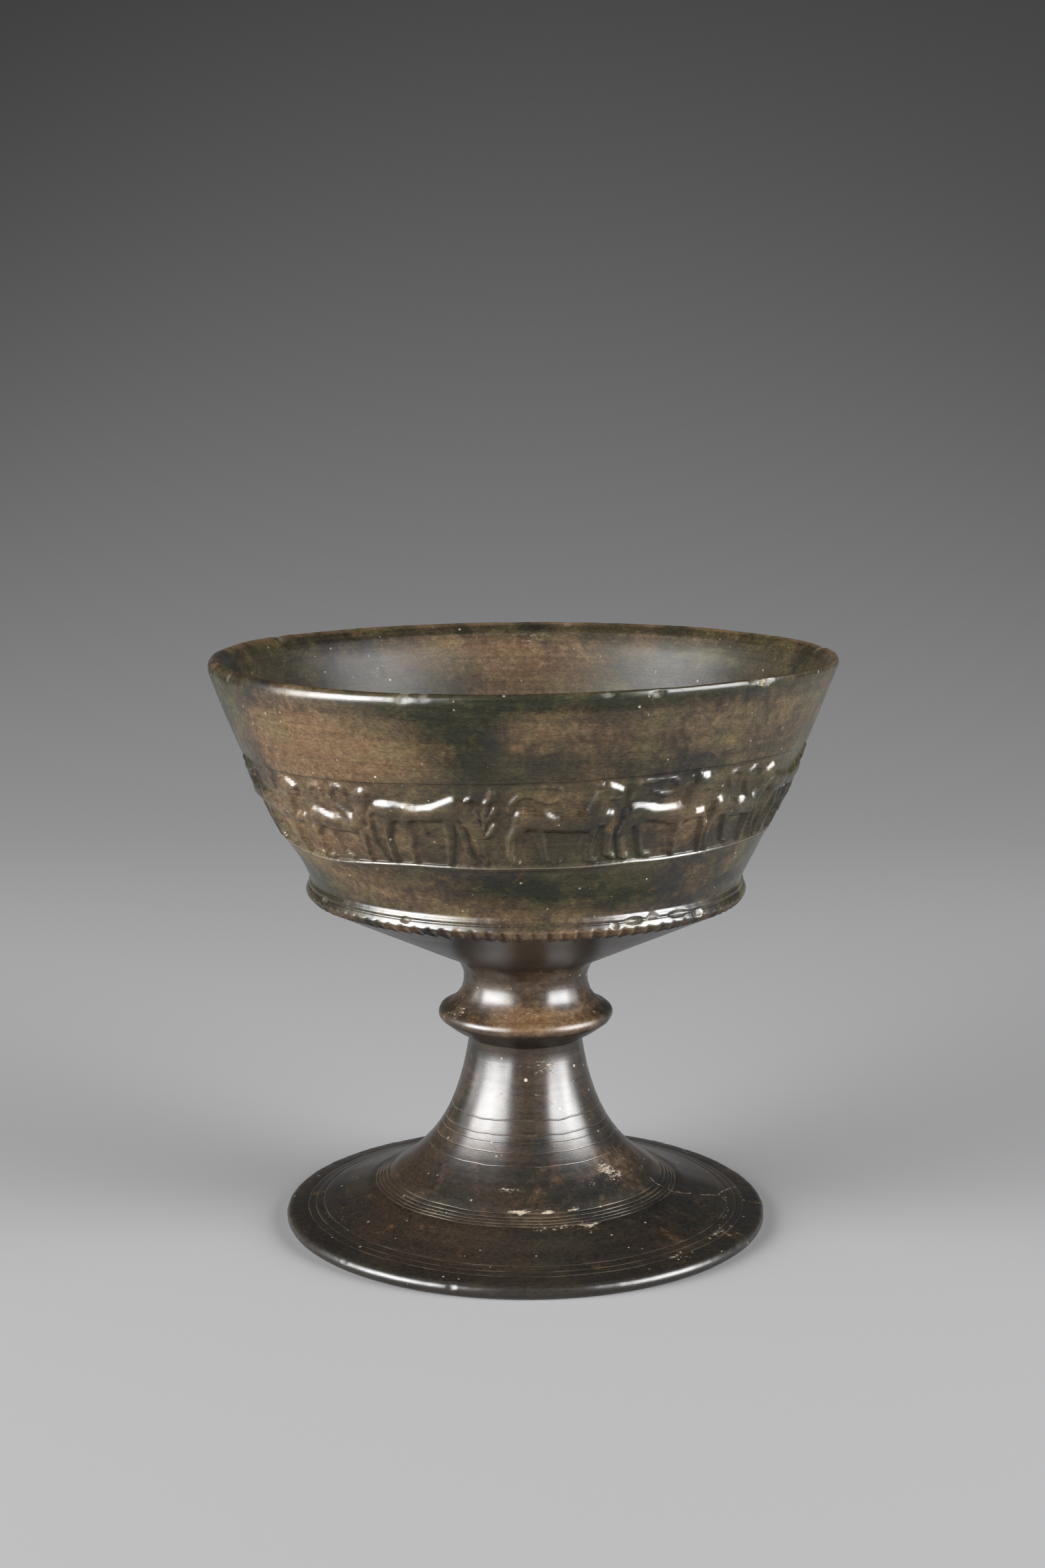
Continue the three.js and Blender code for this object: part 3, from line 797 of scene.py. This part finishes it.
EARTH_WITHIN = [
    (178, 143, 20, 9, 0.8), (-160, 150, 20, 7, 0.5), (150, 152, 12, 3, 0.4), (10, 110, 60, 14, 0.3),
]
MOSS = [
    (-13, 147, 9, 8, 1), (0, 153.5, 34, 2.6, 0.95), (-8, 137, 8, 4, 0.5), (-74, 150, 15, 14, 0.9),
    (-78, 124, 14, 14, 0.7), (-46, 146.5, 3.2, 2.4, 0.9), (30, 154.5, 30, 1.4, 0.8), (8, 104, 30, 6, 1),
    (-70, 103, 22, 8, 1), (-38, 107.5, 12, 2.6, 0.6), (72, 125, 10, 16, 0.6), (-170, 145, 24, 10, 0.7),
    (80, 98, 20, 8, 0.5),
]
# Near-black stains at the foot, and painted shade: the band at 53.5 mm darkens the crease under the collar
# and the band at 88 mm darkens the bowl's underside below the ridge.
SOOT_AND_SHADE = [
    (-72, 5, 26, 4, 0.6), (-58, 2, 60, 2.6, 0.8), (60, 2, 50, 2.4, 0.6), (96, 8, 24, 5, 0.4),
    (4, 7.5, 46, 5, 0.62), (0, 53.5, 200, 2, 0.7), (0, 88, 300, 6, 0.35), (180, 20, 60, 14, 0.5),
]
CRUST = [
    (-17, 19, 8, 0.5, 0.85), (-7.5, 17, 9, 0.5, 0.85), (-22, 16.6, 5, 0.5, 0.6), (66, 19.1, 6, 1, 0.8),
    (52, 17.5, 7, 1, 0.7), (-27, 20.6, 3, 0.6, 0.5), (-3, 13.2, 6, 0.7, 0.8), (9, 13.2, 5, 0.6, 0.8),
    (20, 13.4, 4, 0.6, 0.75), (10, 10.4, 14, 1, 0.6), (24, 10, 6, 1, 0.6), (47, 19.8, 7, 1.8, 0.75),
    (34, 17, 8, 1.4, 0.5), (4, 47.5, 40, 2.6, 0.42), (24, 45, 14, 2.6, 0.45), (8, 34, 14, 1.6, 0.4),
    (-46, 9.5, 6, 1, 0.5), (-60, 60.5, 16, 1.8, 0.6), (-25, 60, 20, 1, 0.4), (62, 4.6, 8, 0.8, 0.6),
    (41, 4.4, 5, 0.6, 0.6), (44, 154.8, 3, 1.4, 0.8), (60, 148, 10, 5, 0.4), (30, 94.5, 16, 1.2, 0.45),
    (150, 12, 22, 3, 0.6), (-140, 24, 16, 3, 0.6),
]
CRUST_WITHIN = [
    (-146, 145, 3, 8, 0.5), (-128, 146, 9, 3, 0.45), (172, 146, 16, 6, 0.2), (128, 150, 20, 4, 0.4),
    (158, 137, 9, 3, 0.3), (179, 152, 6, 4, 0.5), (0, 84, 360, 6, 0.45),
]
earth = patches(EARTH, OUTSIDE) + patches(EARTH_WITHIN, WITHIN)
moss = patches(MOSS, OUTSIDE)
# Near-black stains, plus painted shade under the collar and under the ridge.
soot_and_shade = patches(SOOT_AND_SHADE, OUTSIDE)
crust = patches(CRUST, OUTSIDE) + patches(CRUST_WITHIN, WITHIN)
hollow = (where <= zone_index["stand"]).astype(float)
ring_line = np.clip(cuts[row] / RISE_RING_DEPTH, 0, 1) * (where == zone_index["foot"])
raised = np.clip(relief / 1.4, -0.3, 1)
fresh = np.clip(damage / 0.5, 0, 1) * (where > zone_index["collar"])
at_back = 0.3 + 0.7 * (np.cos(np.radians(theta)) < 0.3)
worn = (where == zone_index["lip"]) * ease((height - RIM_Z + 0.8) / 0.8) * at_back
worn += at_ridge * np.clip(notch_cut / 0.25, 0, 1)


def on_vertices(name, ring_values, crown, middle):
    """Stores one number for each vertex, with the two pole vertices last."""
    values = np.concatenate([ring_values, [crown, middle]]).astype(np.float32)
    mesh.attributes.new(name, "FLOAT", "POINT").data.foreach_set("value", values)


on_vertices("earth", earth, 0, 0)
on_vertices("moss", moss, 0, 0)
on_vertices("soot_and_shade", soot_and_shade, 0, 0)
on_vertices("crust", crust, 0, 0)
on_vertices("hollow", hollow, 1, 0)
on_vertices("within", WITHIN.astype(float), 0, 1)
border_low, border_high = band_edges(theta)
NO_BORDER = 9.0
above_border = np.where(OUTSIDE, height - border_low, NO_BORDER)
below_border = np.where(OUTSIDE, border_high - height, NO_BORDER)
on_vertices("above_border", above_border, NO_BORDER, NO_BORDER)
on_vertices("below_border", below_border, NO_BORDER, NO_BORDER)
on_vertices("ring_line", ring_line, 0, 0)
on_vertices("raised", raised, 0, 0)
on_vertices("worn", worn, 0, 0)
on_vertices("fresh", fresh, 0, 0)
print("attributes:", [a.name for a in mesh.attributes if a.data_type == "FLOAT"])

# %% [markdown]
# ## Node helpers
#
# A material is a graph of nodes. These helpers make a node and link or set its inputs in one line,
# so that the graph below reads like a sum. An effect that is used again is a node group: it is built
# once with its own inputs and outputs, then placed with other values.

# %% Small helpers for node trees
def node(tree, kind, inputs=None, **settings):
    """Adds a node, sets its properties, and fills inputs with numbers or links them to sockets."""
    made = tree.nodes.new(kind)
    for name, value in settings.items():
        setattr(made, name, value)
    for key, value in (inputs or {}).items():
        socket = made.inputs[key]
        if isinstance(value, bpy.types.NodeSocket):
            tree.links.new(value, socket)
        else:
            socket.default_value = value
    return made


def math(tree, operation, a, b=0.0, clamp=False):
    """One arithmetic step on two values."""
    return node(tree, "ShaderNodeMath", {0: a, 1: b}, operation=operation, use_clamp=clamp).outputs[0]


def mix(tree, share, a, b, blend="MIX"):
    """Blends two colours by a share."""
    made = node(tree, "ShaderNodeMix", {0: share, 6: a, 7: b}, data_type="RGBA", blend_type=blend)
    return made.outputs[2]


def step(tree, value, low, high, out_low=0.0, out_high=1.0):
    """A soft step: 0 below low and 1 above high, with a smooth rise between."""
    made = node(
        tree,
        "ShaderNodeMapRange",
        {0: value, 1: low, 2: high, 3: out_low, 4: out_high},
        interpolation_type="SMOOTHSTEP",
    )
    return made.outputs[0]


def noise(tree, vector, scale, detail=3.0, roughness=0.55, distortion=0.0):
    """Cloudy noise; the scale is in cells for each metre."""
    inputs = {"Vector": vector, "Scale": scale, "Detail": detail}
    inputs.update({"Roughness": roughness, "Distortion": distortion})
    return node(tree, "ShaderNodeTexNoise", inputs).outputs["Fac"]


def stretched(tree, vector, scale, turn=(0, 0, 0)):
    """Object coordinates stretched along the axes, so that noise becomes streaks."""
    return node(tree, "ShaderNodeMapping", {"Vector": vector, "Scale": scale, "Rotation": turn}).outputs[0]


def new_group(name, vectors, numbers):
    """An empty node group with vector and number inputs and one output, its mask."""
    group = bpy.data.node_groups.new(name, "ShaderNodeTree")
    for label in vectors:
        group.interface.new_socket(label, in_out="INPUT", socket_type="NodeSocketVector")
    for label in numbers:
        group.interface.new_socket(label, in_out="INPUT", socket_type="NodeSocketFloat")
    group.interface.new_socket("Mask", in_out="OUTPUT", socket_type="NodeSocketFloat")
    inputs = group.nodes.new("NodeGroupInput").outputs
    return group, inputs, group.nodes.new("NodeGroupOutput").inputs["Mask"]


print("helpers ready")

# %% [markdown]
# ## A thin line on the surface
#
# Cracks and scratches are too thin for the mesh. A line is the set of points near a segment between
# two places, so its mask is 1 where the distance to that segment is under its width. The point is
# shaken by noise first, and the line wanders like a real crack. The same group draws them all.

# %% The line group
def build_line_group():
    """Mask of a segment: the distance to the nearest point of it, compared with the width."""
    group, given, mask = new_group("thin_line", ["Vector", "Start", "End"], ["Width"])

    def vec(operation, a, b=(0, 0, 0), out_index=0):
        return node(group, "ShaderNodeVectorMath", {0: a, 1: b}, operation=operation).outputs[out_index]

    along = vec("SUBTRACT", given["End"], given["Start"])
    here = vec("SUBTRACT", given["Vector"], given["Start"])
    reached = vec("DOT_PRODUCT", here, along, out_index=1)
    length_squared = vec("DOT_PRODUCT", along, along, out_index=1)
    share = math(group, "DIVIDE", reached, length_squared, True)
    nearest = node(group, "ShaderNodeVectorMath", {0: along, "Scale": share}, operation="SCALE").outputs[0]
    away = vec("LENGTH", vec("SUBTRACT", here, nearest), out_index=1)
    ratio = math(group, "DIVIDE", away, given["Width"])
    group.links.new(step(group, ratio, 1.0, 0.4), mask)
    return group


line_group = build_line_group()
print("line group with", len(line_group.nodes), "nodes")

# %% [markdown]
# ## Specks
#
# Pale grains of lime and quartz show all over. Each cell of a Voronoi pattern holds one round grain,
# and a second threshold on the cell's own random colour keeps only a few of them.

# %% The speck group
def build_speck_group():
    """Mask of grains: near a cell's point, and only in cells whose random number passes a limit."""
    group, given, mask = new_group("specks", ["Vector"], ["Scale", "Size", "Share"])
    inputs = {"Vector": given["Vector"], "Scale": given["Scale"]}
    cells = node(group, "ShaderNodeTexVoronoi", inputs, feature="F1")
    pick = node(group, "ShaderNodeSeparateColor", {0: cells.outputs["Color"]})
    size = math(group, "MULTIPLY", given["Size"], pick.outputs[1])
    grain = math(group, "LESS_THAN", cells.outputs["Distance"], size)
    kept = math(group, "LESS_THAN", pick.outputs[0], given["Share"])
    group.links.new(math(group, "MULTIPLY", grain, kept), mask)
    return group


speck_group = build_speck_group()
print("speck group with", len(speck_group.nodes), "nodes")

# %% [markdown]
# ## The burnished clay
#
# Burnishing packs the clay's surface until it shines like polished leather, with fine level streaks
# where the pebble ran. So the shader is a plain dielectric with a middling roughness that changes
# from streak to streak. Colour goes on in layers, from the broad tones of the firing to the crusts.

# %% Start the material
clay = bpy.data.materials.new("burnished_clay")
clay.use_nodes = True
tree = clay.node_tree
tree.nodes.clear()
place = node(tree, "ShaderNodeTexCoord").outputs["Object"]


def stored(name):
    """A number stored on the vertices."""
    return node(tree, "ShaderNodeAttribute", attribute_name=name).outputs["Fac"]


def plus(a, b):
    """The sum of two values."""
    return math(tree, "ADD", a, b)


def times(a, b):
    """The product of two values."""
    return math(tree, "MULTIPLY", a, b)


def lay(under, mask, strength, colour):
    """A colour laid over another, by a mask times a strength."""
    return mix(tree, times(mask, strength), under, colour)


def weighted(start, parts):
    """A start value plus every part times its weight."""
    for value, weight in parts:
        start = plus(start, times(value, weight))
    return start


def strongest(masks):
    """The largest of several masks."""
    total = masks[0]
    for mask in masks[1:]:
        total = math(tree, "MAXIMUM", total, mask)
    return total


def placed(group, **inputs):
    """A node group set in the clay's graph, with its inputs; what comes back is its mask."""
    return node(tree, "ShaderNodeGroup", inputs, node_tree=group).outputs[0]


cloud = noise(tree, place, 22.0, 4.0, 0.6)
mottle = noise(tree, place, 95.0, 5.0, 0.62, 0.4)
fleck = noise(tree, place, 420.0, 4.0, 0.65)
grain = noise(tree, place, 1700.0, 3.0, 0.6)
fine = noise(tree, stretched(tree, place, (1.0, 1.0, 2.2)), 900.0, 5.0, 0.75)
streaks = noise(tree, stretched(tree, place, (9.0, 9.0, 620.0)), 1.0, 4.0, 0.7)
broad_streaks = noise(tree, stretched(tree, place, (14.0, 14.0, 170.0)), 1.0, 3.0, 0.6)
print("pattern nodes:", len(tree.nodes))

# %% The colours of the clay and of what sits on it
BLACK = (0.0050, 0.0044, 0.0036, 1)
UMBER = (0.0128, 0.0082, 0.0052, 1)
UMBER_LIGHT = (0.030, 0.0175, 0.0098, 1)
OLIVE = (0.0150, 0.0120, 0.0058, 1)
OLIVE_LIGHT = (0.040, 0.029, 0.0155, 1)
SLATE = (0.012, 0.010, 0.009, 1)
KHAKI = (0.045, 0.0375, 0.0155, 1)
RUST = (0.085, 0.041, 0.016, 1)
ORANGE = (0.115, 0.053, 0.020, 1)
EARTH_TONE = (0.072, 0.037, 0.0150, 1)
EARTH_LIGHT = (0.098, 0.062, 0.030, 1)
MOSS_TONE = (0.0062, 0.0072, 0.0038, 1)
RUBBED = (0.044, 0.033, 0.0225, 1)
BARE_CLAY = (0.085, 0.046, 0.021, 1)
CHIPPED = (0.085, 0.074, 0.055, 1)
CRACKED = (0.10, 0.083, 0.06, 1)
SCRATCHED = (0.15, 0.132, 0.098, 1)
DUST = (0.10, 0.078, 0.050, 1)
RING_DUST = (0.072, 0.056, 0.037, 1)
# A pale tone for the welt line along the band's lower border: a painted highlight.
PAINTED_WELT_HIGHLIGHT = (0.11, 0.10, 0.08, 1)
HOLLOW_DARK = (0.015, 0.012, 0.009, 1)
HOLLOW_LIGHT = (0.038, 0.029, 0.020, 1)
TAN = (0.20, 0.155, 0.10, 1)
CHALK = (0.27, 0.24, 0.19, 1)
print("the darkest tone is", BLACK[:3], "and the palest", CHALK[:3])

# %% Broad tones
BOWL_FROM = 0.086
BOWL_TO = 0.094
height_socket = node(tree, "ShaderNodeSeparateXYZ", {0: place}).outputs["Z"]
in_bowl = step(tree, height_socket, BOWL_FROM, BOWL_TO)
dark = step(tree, weighted(cloud, [(broad_streaks, 0.35)]), 0.52, 0.78)
lighter = mix(tree, in_bowl, UMBER_LIGHT, OLIVE_LIGHT)
base = mix(tree, dark, mix(tree, in_bowl, UMBER, OLIVE), BLACK)
base = lay(base, step(tree, mottle, 0.48, 0.72), 0.45, lighter)

broken = weighted(times(mottle, 0.8), [(fleck, 0.7), (broad_streaks, 0.4)])
earth_mask = step(tree, plus(stored("earth"), broken), 1.0, 1.85)
moss_mask = step(tree, plus(stored("moss"), broken), 1.05, 1.8)
soot_and_shade_mask = step(tree, plus(stored("soot_and_shade"), broken), 1.05, 1.8)
earth_colour = mix(tree, step(tree, fleck, 0.42, 0.68), EARTH_TONE, EARTH_LIGHT)
within = stored("within")
slate = times(within, step(tree, weighted(cloud, [(mottle, 0.6)]), 0.82, 0.98))
base = lay(base, slate, 0.6, SLATE)
base = lay(base, moss_mask, 0.85, MOSS_TONE)
base = lay(base, earth_mask, 0.62, earth_colour)
# Near-black stains, and painted shade in the collar's crease and on the underside below the ridge.
base = lay(base, soot_and_shade_mask, 0.85, BLACK)
khaki = step(tree, noise(tree, stretched(tree, place, (1.0, 1.0, 1.7)), 60.0, 5.0, 0.65), 0.46, 0.66)
base = lay(base, khaki, step(tree, height_socket, BOWL_FROM, BOWL_TO, 0.06, 0.42), KHAKI)
rusty = step(tree, noise(tree, stretched(tree, place, (1.0, 1.0, 1.9)), 130.0, 5.0, 0.7), 0.6, 0.74)
base = lay(base, rusty, 0.3, RUST)
shade = step(tree, weighted(times(fine, 0.7), [(streaks, 0.3)]), 0.3, 0.7, 0.34, 1.85)
shade_colour = node(tree, "ShaderNodeCombineColor", {0: shade, 1: shade, 2: shade}).outputs[0]
base = mix(tree, 0.85, base, shade_colour, "MULTIPLY")
print("tones laid")

# %% Wear, crusts, chips and dust
orange_fleck = times(step(tree, fleck, 0.62, 0.72), step(tree, mottle, 0.5, 0.66))
base = lay(base, orange_fleck, 0.5, ORANGE)
rubbed = times(step(tree, stored("raised"), 0.45, 1.0), step(tree, mottle, 0.4, 0.65))
base = lay(base, rubbed, 0.35, RUBBED)
settled = times(stored("ring_line"), step(tree, mottle, 0.38, 0.62))
base = lay(base, settled, 0.2, DUST)
dashes = noise(tree, stretched(tree, place, (1.0, 1.0, 5.0)), 430.0, 4.0, 0.75)
flakes = weighted(stored("crust"), [(dashes, 1.5), (fine, 0.7)])
crust_mask = step(tree, flakes, 1.64, 1.92)
crust_colour = mix(tree, step(tree, grain, 0.4, 0.7), TAN, CHALK)
base = lay(base, crust_mask, 0.72, crust_colour)
chip_mask = times(step(tree, stored("fresh"), 0.1, 0.5), step(tree, fleck, 0.35, 0.6))
base = lay(base, chip_mask, 0.5, CHIPPED)
small_specks = placed(speck_group, Vector=place, Scale=760.0, Size=0.28, Share=0.05)
large_specks = placed(speck_group, Vector=place, Scale=300.0, Size=0.16, Share=0.03)
base = lay(base, strongest([times(small_specks, 0.55), large_specks]), 0.75, CHALK)
worn_socket = stored("worn")
bare = times(worn_socket, step(tree, weighted(mottle, [(fleck, 0.6)]), 0.62, 0.95))
base = lay(base, bare, 0.6, BARE_CLAY)
print("wear laid")

# %% [markdown]
# ## The crack and the scratches
#
# One old crack runs from the trumpet out over the right of the foot, with a short branch. A second
# one goes down inside the bowl from the rear of the lip. Places on the pot are given by an angle and
# a height, and the profile gives the radius.

# %% Places of the lines
outer_profile = points[(zone_of >= zone_index["foot"]) & (zone_of <= zone_index["lip"])]
inner_profile = points[zone_of == zone_index["inside"]]


def spot(angle, level, profile=outer_profile):
    """A place on the pot in metres: the radius at that height, turned by the angle from the front."""
    order = np.argsort(profile[:, 1])
    r = float(np.interp(level, profile[order, 1], profile[order, 0]))
    a = np.radians(angle)
    return (r * np.sin(a) * MM, -r * np.cos(a) * MM, level * MM)


def chain(places, width, profile=outer_profile):
    """Neighbouring places joined into line segments of one width."""
    return [(spot(*a, profile), spot(*b, profile), width * MM) for a, b in zip(places[:-1], places[1:])]


crack = chain([(79.0, 18.0), (71.0, 13.6), (73.0, 10.3), (86.4, 6.3), (99.0, 4.4)], 0.26)
crack += chain([(88.8, 5.9), (78.0, 5.2), (68.0, 5.1)], 0.16)
crack += chain([(-147.5, 153.5), (-146.0, 146.0), (-145.0, 137.0)], 0.3, inner_profile)
scratches = chain([(-62.5, 151.5), (-63.5, 142.0)], 0.22)
scratches += chain([(-72.0, 152.0), (-69.0, 144.0), (-67.0, 137.0), (-62.0, 130.5)], 0.3)
scratches += chain([(-52.0, 147.0), (-53.0, 139.5)], 0.2)
scratches += chain([(49.0, 141.0), (55.0, 141.6)], 0.25)
scratches += chain([(38.0, 151.0), (36.5, 145.5)], 0.14)
scratches += chain([(44.0, 113.0), (50.0, 115.0)], 0.2)
scratches += chain([(2.0, 43.5), (13.0, 45.5), (30.0, 44.0)], 0.16)
scratches += chain([(8.0, 39.5), (24.0, 36.5)], 0.18)
scratches += chain([(-30.0, 37.5), (-18.0, 39.5)], 0.14)
scratches += chain([(-24.0, 46.5), (6.0, 47.2)], 0.14)
scratches += chain([(-14.0, 62.5), (10.0, 62.0)], 0.14)
scratches += chain([(20.0, 64.5), (52.0, 66.0)], 0.14)

SHAKE = 0.0022
shake = node(tree, "ShaderNodeTexNoise", {"Vector": place, "Scale": 260.0, "Detail": 3.0}).outputs["Color"]
shaken = node(tree, "ShaderNodeVectorMath", {0: shake, 1: (0.5, 0.5, 0.5)}, operation="SUBTRACT").outputs[0]
shaken = node(tree, "ShaderNodeVectorMath", {0: shaken, "Scale": SHAKE}, operation="SCALE").outputs[0]
wandering = node(tree, "ShaderNodeVectorMath", {0: place, 1: shaken}, operation="ADD").outputs[0]


def line_mask(lines):
    """The strongest of several thin lines."""
    return strongest([placed(line_group, Vector=wandering, Start=a, End=b, Width=w) for a, b, w in lines])


crack_mask = line_mask(crack)
scratch_mask = line_mask(scratches)
base = lay(base, crack_mask, 0.75, CRACKED)
base = lay(base, scratch_mask, 0.5, SCRATCHED)
hollow_colour = mix(tree, step(tree, mottle, 0.4, 0.6), HOLLOW_DARK, HOLLOW_LIGHT)
hollow_socket = stored("hollow")
base = mix(tree, hollow_socket, base, hollow_colour)
print("lines:", len(crack), "cracked and", len(scratches), "scratched")

# %% [markdown]
# ## Lines pressed with a point
#
# The rings of the foot and the borders of the frieze are too thin for a mesh cell to show crisply. A
# ring is where the distance from the axis equals the ring's radius, and a border is where its stored
# height is zero, so a narrow bell round that value gives a crisp line. The lower border's pale line is
# a painted highlight on the welt, and the upper border's black line is painted shade under its step.

# %% Rings and borders as narrow bells
def build_bell_group():
    """One minus the squared distance from the middle in widths, floored at zero, then squared."""
    group, given, mask = new_group("bell", [], ["Value", "Middle", "Width"])
    away = math(group, "SUBTRACT", given["Value"], given["Middle"])
    away = math(group, "DIVIDE", away, given["Width"])
    near = math(group, "SUBTRACT", 1.0, math(group, "MULTIPLY", away, away), True)
    group.links.new(math(group, "MULTIPLY", near, near), mask)
    return group


bell_group = build_bell_group()


def bell(value, middle, width):
    """A placed bell group."""
    return placed(bell_group, Value=value, Middle=middle, Width=width)


NECK_LINE = 0.11
FOOT_LINE = 0.16
RING_DRIFT = 0.0003
level_place = stretched(tree, place, (1.0, 1.0, 0.0))
from_axis = node(tree, "ShaderNodeVectorMath", {0: level_place}, operation="LENGTH").outputs[1]
drifted = plus(from_axis, times(math(tree, "SUBTRACT", mottle, 0.5), RING_DRIFT))
ring_places = [(r, FOOT_LINE) for r in EDGE_RINGS + RISE_RINGS] + [(r, NECK_LINE) for r in NECK_RINGS]
ring_mask = strongest([bell(drifted, r * MM, width * MM) for r, width in ring_places])
below_neck = step(tree, height_socket, 0.0495, 0.048)
ring_mask = times(ring_mask, times(below_neck, step(tree, hollow_socket, 0.5, 0.0)))
from_border = stored("above_border")
patchy = times(step(tree, broad_streaks, 0.3, 0.5), 0.15)
welt_mask = plus(bell(from_border, -0.1, 0.3), times(bell(from_border, 0.42, 0.2), patchy))
# Painted shade: a thin black line under the small step of the band's upper border.
upper_border_shade_mask = bell(stored("below_border"), 0.0, 0.22)
base = mix(tree, times(ring_mask, step(tree, mottle, 0.4, 0.65, 0.05, 0.6)), base, RING_DUST)
# Painted shade along the upper border's step, laid in black.
base = lay(base, upper_border_shade_mask, 0.6, BLACK)
# Painted highlight: the welt along the band's lower border is laid in a pale tone.
base = lay(base, welt_mask, 0.4, PAINTED_WELT_HIGHLIGHT)
print("rings:", len(ring_places))

# %% Roughness and bump
ROUGH = 0.17
ROUGHER = [(streaks, 0.12), (within, 0.16), (fleck, 0.10), (earth_mask, 0.07), (worn_socket, 0.26)]
ROUGHER += [(strongest([crust_mask, hollow_socket]), 0.4), (chip_mask, 0.2)]
rough = plus(weighted(ROUGH, ROUGHER), step(tree, height_socket, BOWL_FROM, BOWL_TO, 0.045, 0.0))
rough = math(tree, "MINIMUM", rough, 1.0)

RAISED = [(grain, 0.20), (fleck, 0.28), (times(mottle, worn_socket), 2.5), (crust_mask, 0.9)]
RAISED += [(crack_mask, -3.0), (scratch_mask, -0.8), (ring_mask, -1.1), (upper_border_shade_mask, -1.3), (welt_mask, 2.4)]
relief_height = weighted(times(streaks, 0.45), RAISED)
bump_inputs = {"Strength": 0.55, "Distance": 0.00012, "Height": relief_height}
bump = node(tree, "ShaderNodeBump", bump_inputs).outputs[0]

skin_inputs = {"Base Color": base, "Roughness": rough, "Normal": bump, "IOR": 1.5}
skin = node(tree, "ShaderNodeBsdfPrincipled", skin_inputs)
shine = node(tree, "ShaderNodeMapRange", {0: within, 3: 0.5, 4: 0.27}).outputs[0]
shine = times(shine, step(tree, moss_mask, 0.0, 1.0, 1.0, 0.62))
tree.links.new(shine, skin.inputs["Specular IOR Level"])
node(tree, "ShaderNodeOutputMaterial", {"Surface": skin.outputs[0]})
mesh.materials.append(clay)
print("clay material with", len(tree.nodes), "nodes")

# %% [markdown]
# ## The floor, the light and the camera
#
# The cup stands on a plain pale sweep that rises behind it. Two broad soft lights stand to the left
# and the right, a little in front: their reflections are the two bright bands down the trumpet. The
# camera looks down by under ten degrees from about two thirds of a metre.

# %% The sweep
PALE = (0.165, 0.165, 0.168, 1)
BEND = 2.2
BEND_START = 0.55
FRONT = -2.5
TOP = 5.0
t = np.linspace(0, np.pi / 2, 48)
sweep_y = np.concatenate([[FRONT, BEND_START], BEND_START + BEND * np.sin(t[1:]), [BEND_START + BEND]])
sweep_z = np.concatenate([[0.0, 0.0], BEND * (1 - np.cos(t[1:])), [TOP]])
sides = np.array([-4.0, 4.0])
grid = np.array([(x, y, z) for y, z in zip(sweep_y, sweep_z) for x in sides])
strip = [(2 * i, 2 * i + 1, 2 * i + 3, 2 * i + 2) for i in range(len(sweep_y) - 1)]
floor_mesh = bpy.data.meshes.new("sweep")
floor_mesh.from_pydata(grid.tolist(), [], strip)
floor_mesh.shade_smooth()
floor = bpy.data.objects.new("sweep", floor_mesh)
bpy.context.scene.collection.objects.link(floor)
paper = bpy.data.materials.new("pale_paper")
paper.use_nodes = True
paper_skin = paper.node_tree.nodes["Principled BSDF"]
paper_skin.inputs["Base Color"].default_value = PALE
paper_skin.inputs["Roughness"].default_value = 0.9
floor_mesh.materials.append(paper)
print("sweep of", len(strip), "faces")

# %% The lights
TARGET = (0.0, 0.0, 0.08)
LIGHT_SPREAD = 105


def soft_light(name, azimuth, elevation, distance, width, tall, power):
    """A rectangular light at an azimuth from the front (right positive), facing the pot."""
    data = bpy.data.lights.new(name, "AREA")
    data.shape = "RECTANGLE"
    data.size, data.size_y, data.energy = width, tall, power
    data.spread = np.radians(LIGHT_SPREAD)
    lamp = bpy.data.objects.new(name, data)
    a, e = np.radians(azimuth), np.radians(elevation)
    away = np.array([np.sin(a) * np.cos(e), -np.cos(a) * np.cos(e), np.sin(e)])
    side = np.array([np.cos(a), np.sin(a), 0.0])
    up = np.cross(away, side)
    spot_at = np.array(TARGET) + away * distance
    columns = np.column_stack([side, up, away, spot_at])
    lamp.matrix_world = Matrix([list(r) for r in columns] + [[0, 0, 0, 1]])
    bpy.context.scene.collection.objects.link(lamp)


soft_light("left_box", -62, 16, 1.35, 1.3, 1.0, 39)
soft_light("right_box", 67, 16, 1.35, 1.05, 1.0, 30)

world = bpy.data.worlds.new("studio")
world.use_nodes = True
glow = world.node_tree.nodes["Background"]
glow.inputs["Color"].default_value = (0.5, 0.5, 0.51, 1)
glow.inputs["Strength"].default_value = 0.07
bpy.context.scene.world = world

# %% The camera
CAMERA_BACK = 0.64898
CAMERA_UP = 0.2310
CAMERA_LEFT = 0.00088
LOOK_DOWN = 9.626
PICTURE_TALL = 2352
FOCAL_PIXELS = 3657.0
lens_data = bpy.data.cameras.new("camera")
lens_data.sensor_fit = "AUTO"
lens_data.sensor_width = 36.0
lens_data.lens = FOCAL_PIXELS * lens_data.sensor_width / PICTURE_TALL
camera = bpy.data.objects.new("camera", lens_data)
camera.location = (-CAMERA_LEFT, -CAMERA_BACK, CAMERA_UP)
camera.rotation_euler = (np.radians(90 - LOOK_DOWN), 0.0, 0.0)
bpy.context.scene.collection.objects.link(camera)
bpy.context.scene.camera = camera
bpy.context.scene.view_settings.view_transform = "Standard"
print("lens", round(lens_data.lens, 1), "mm")
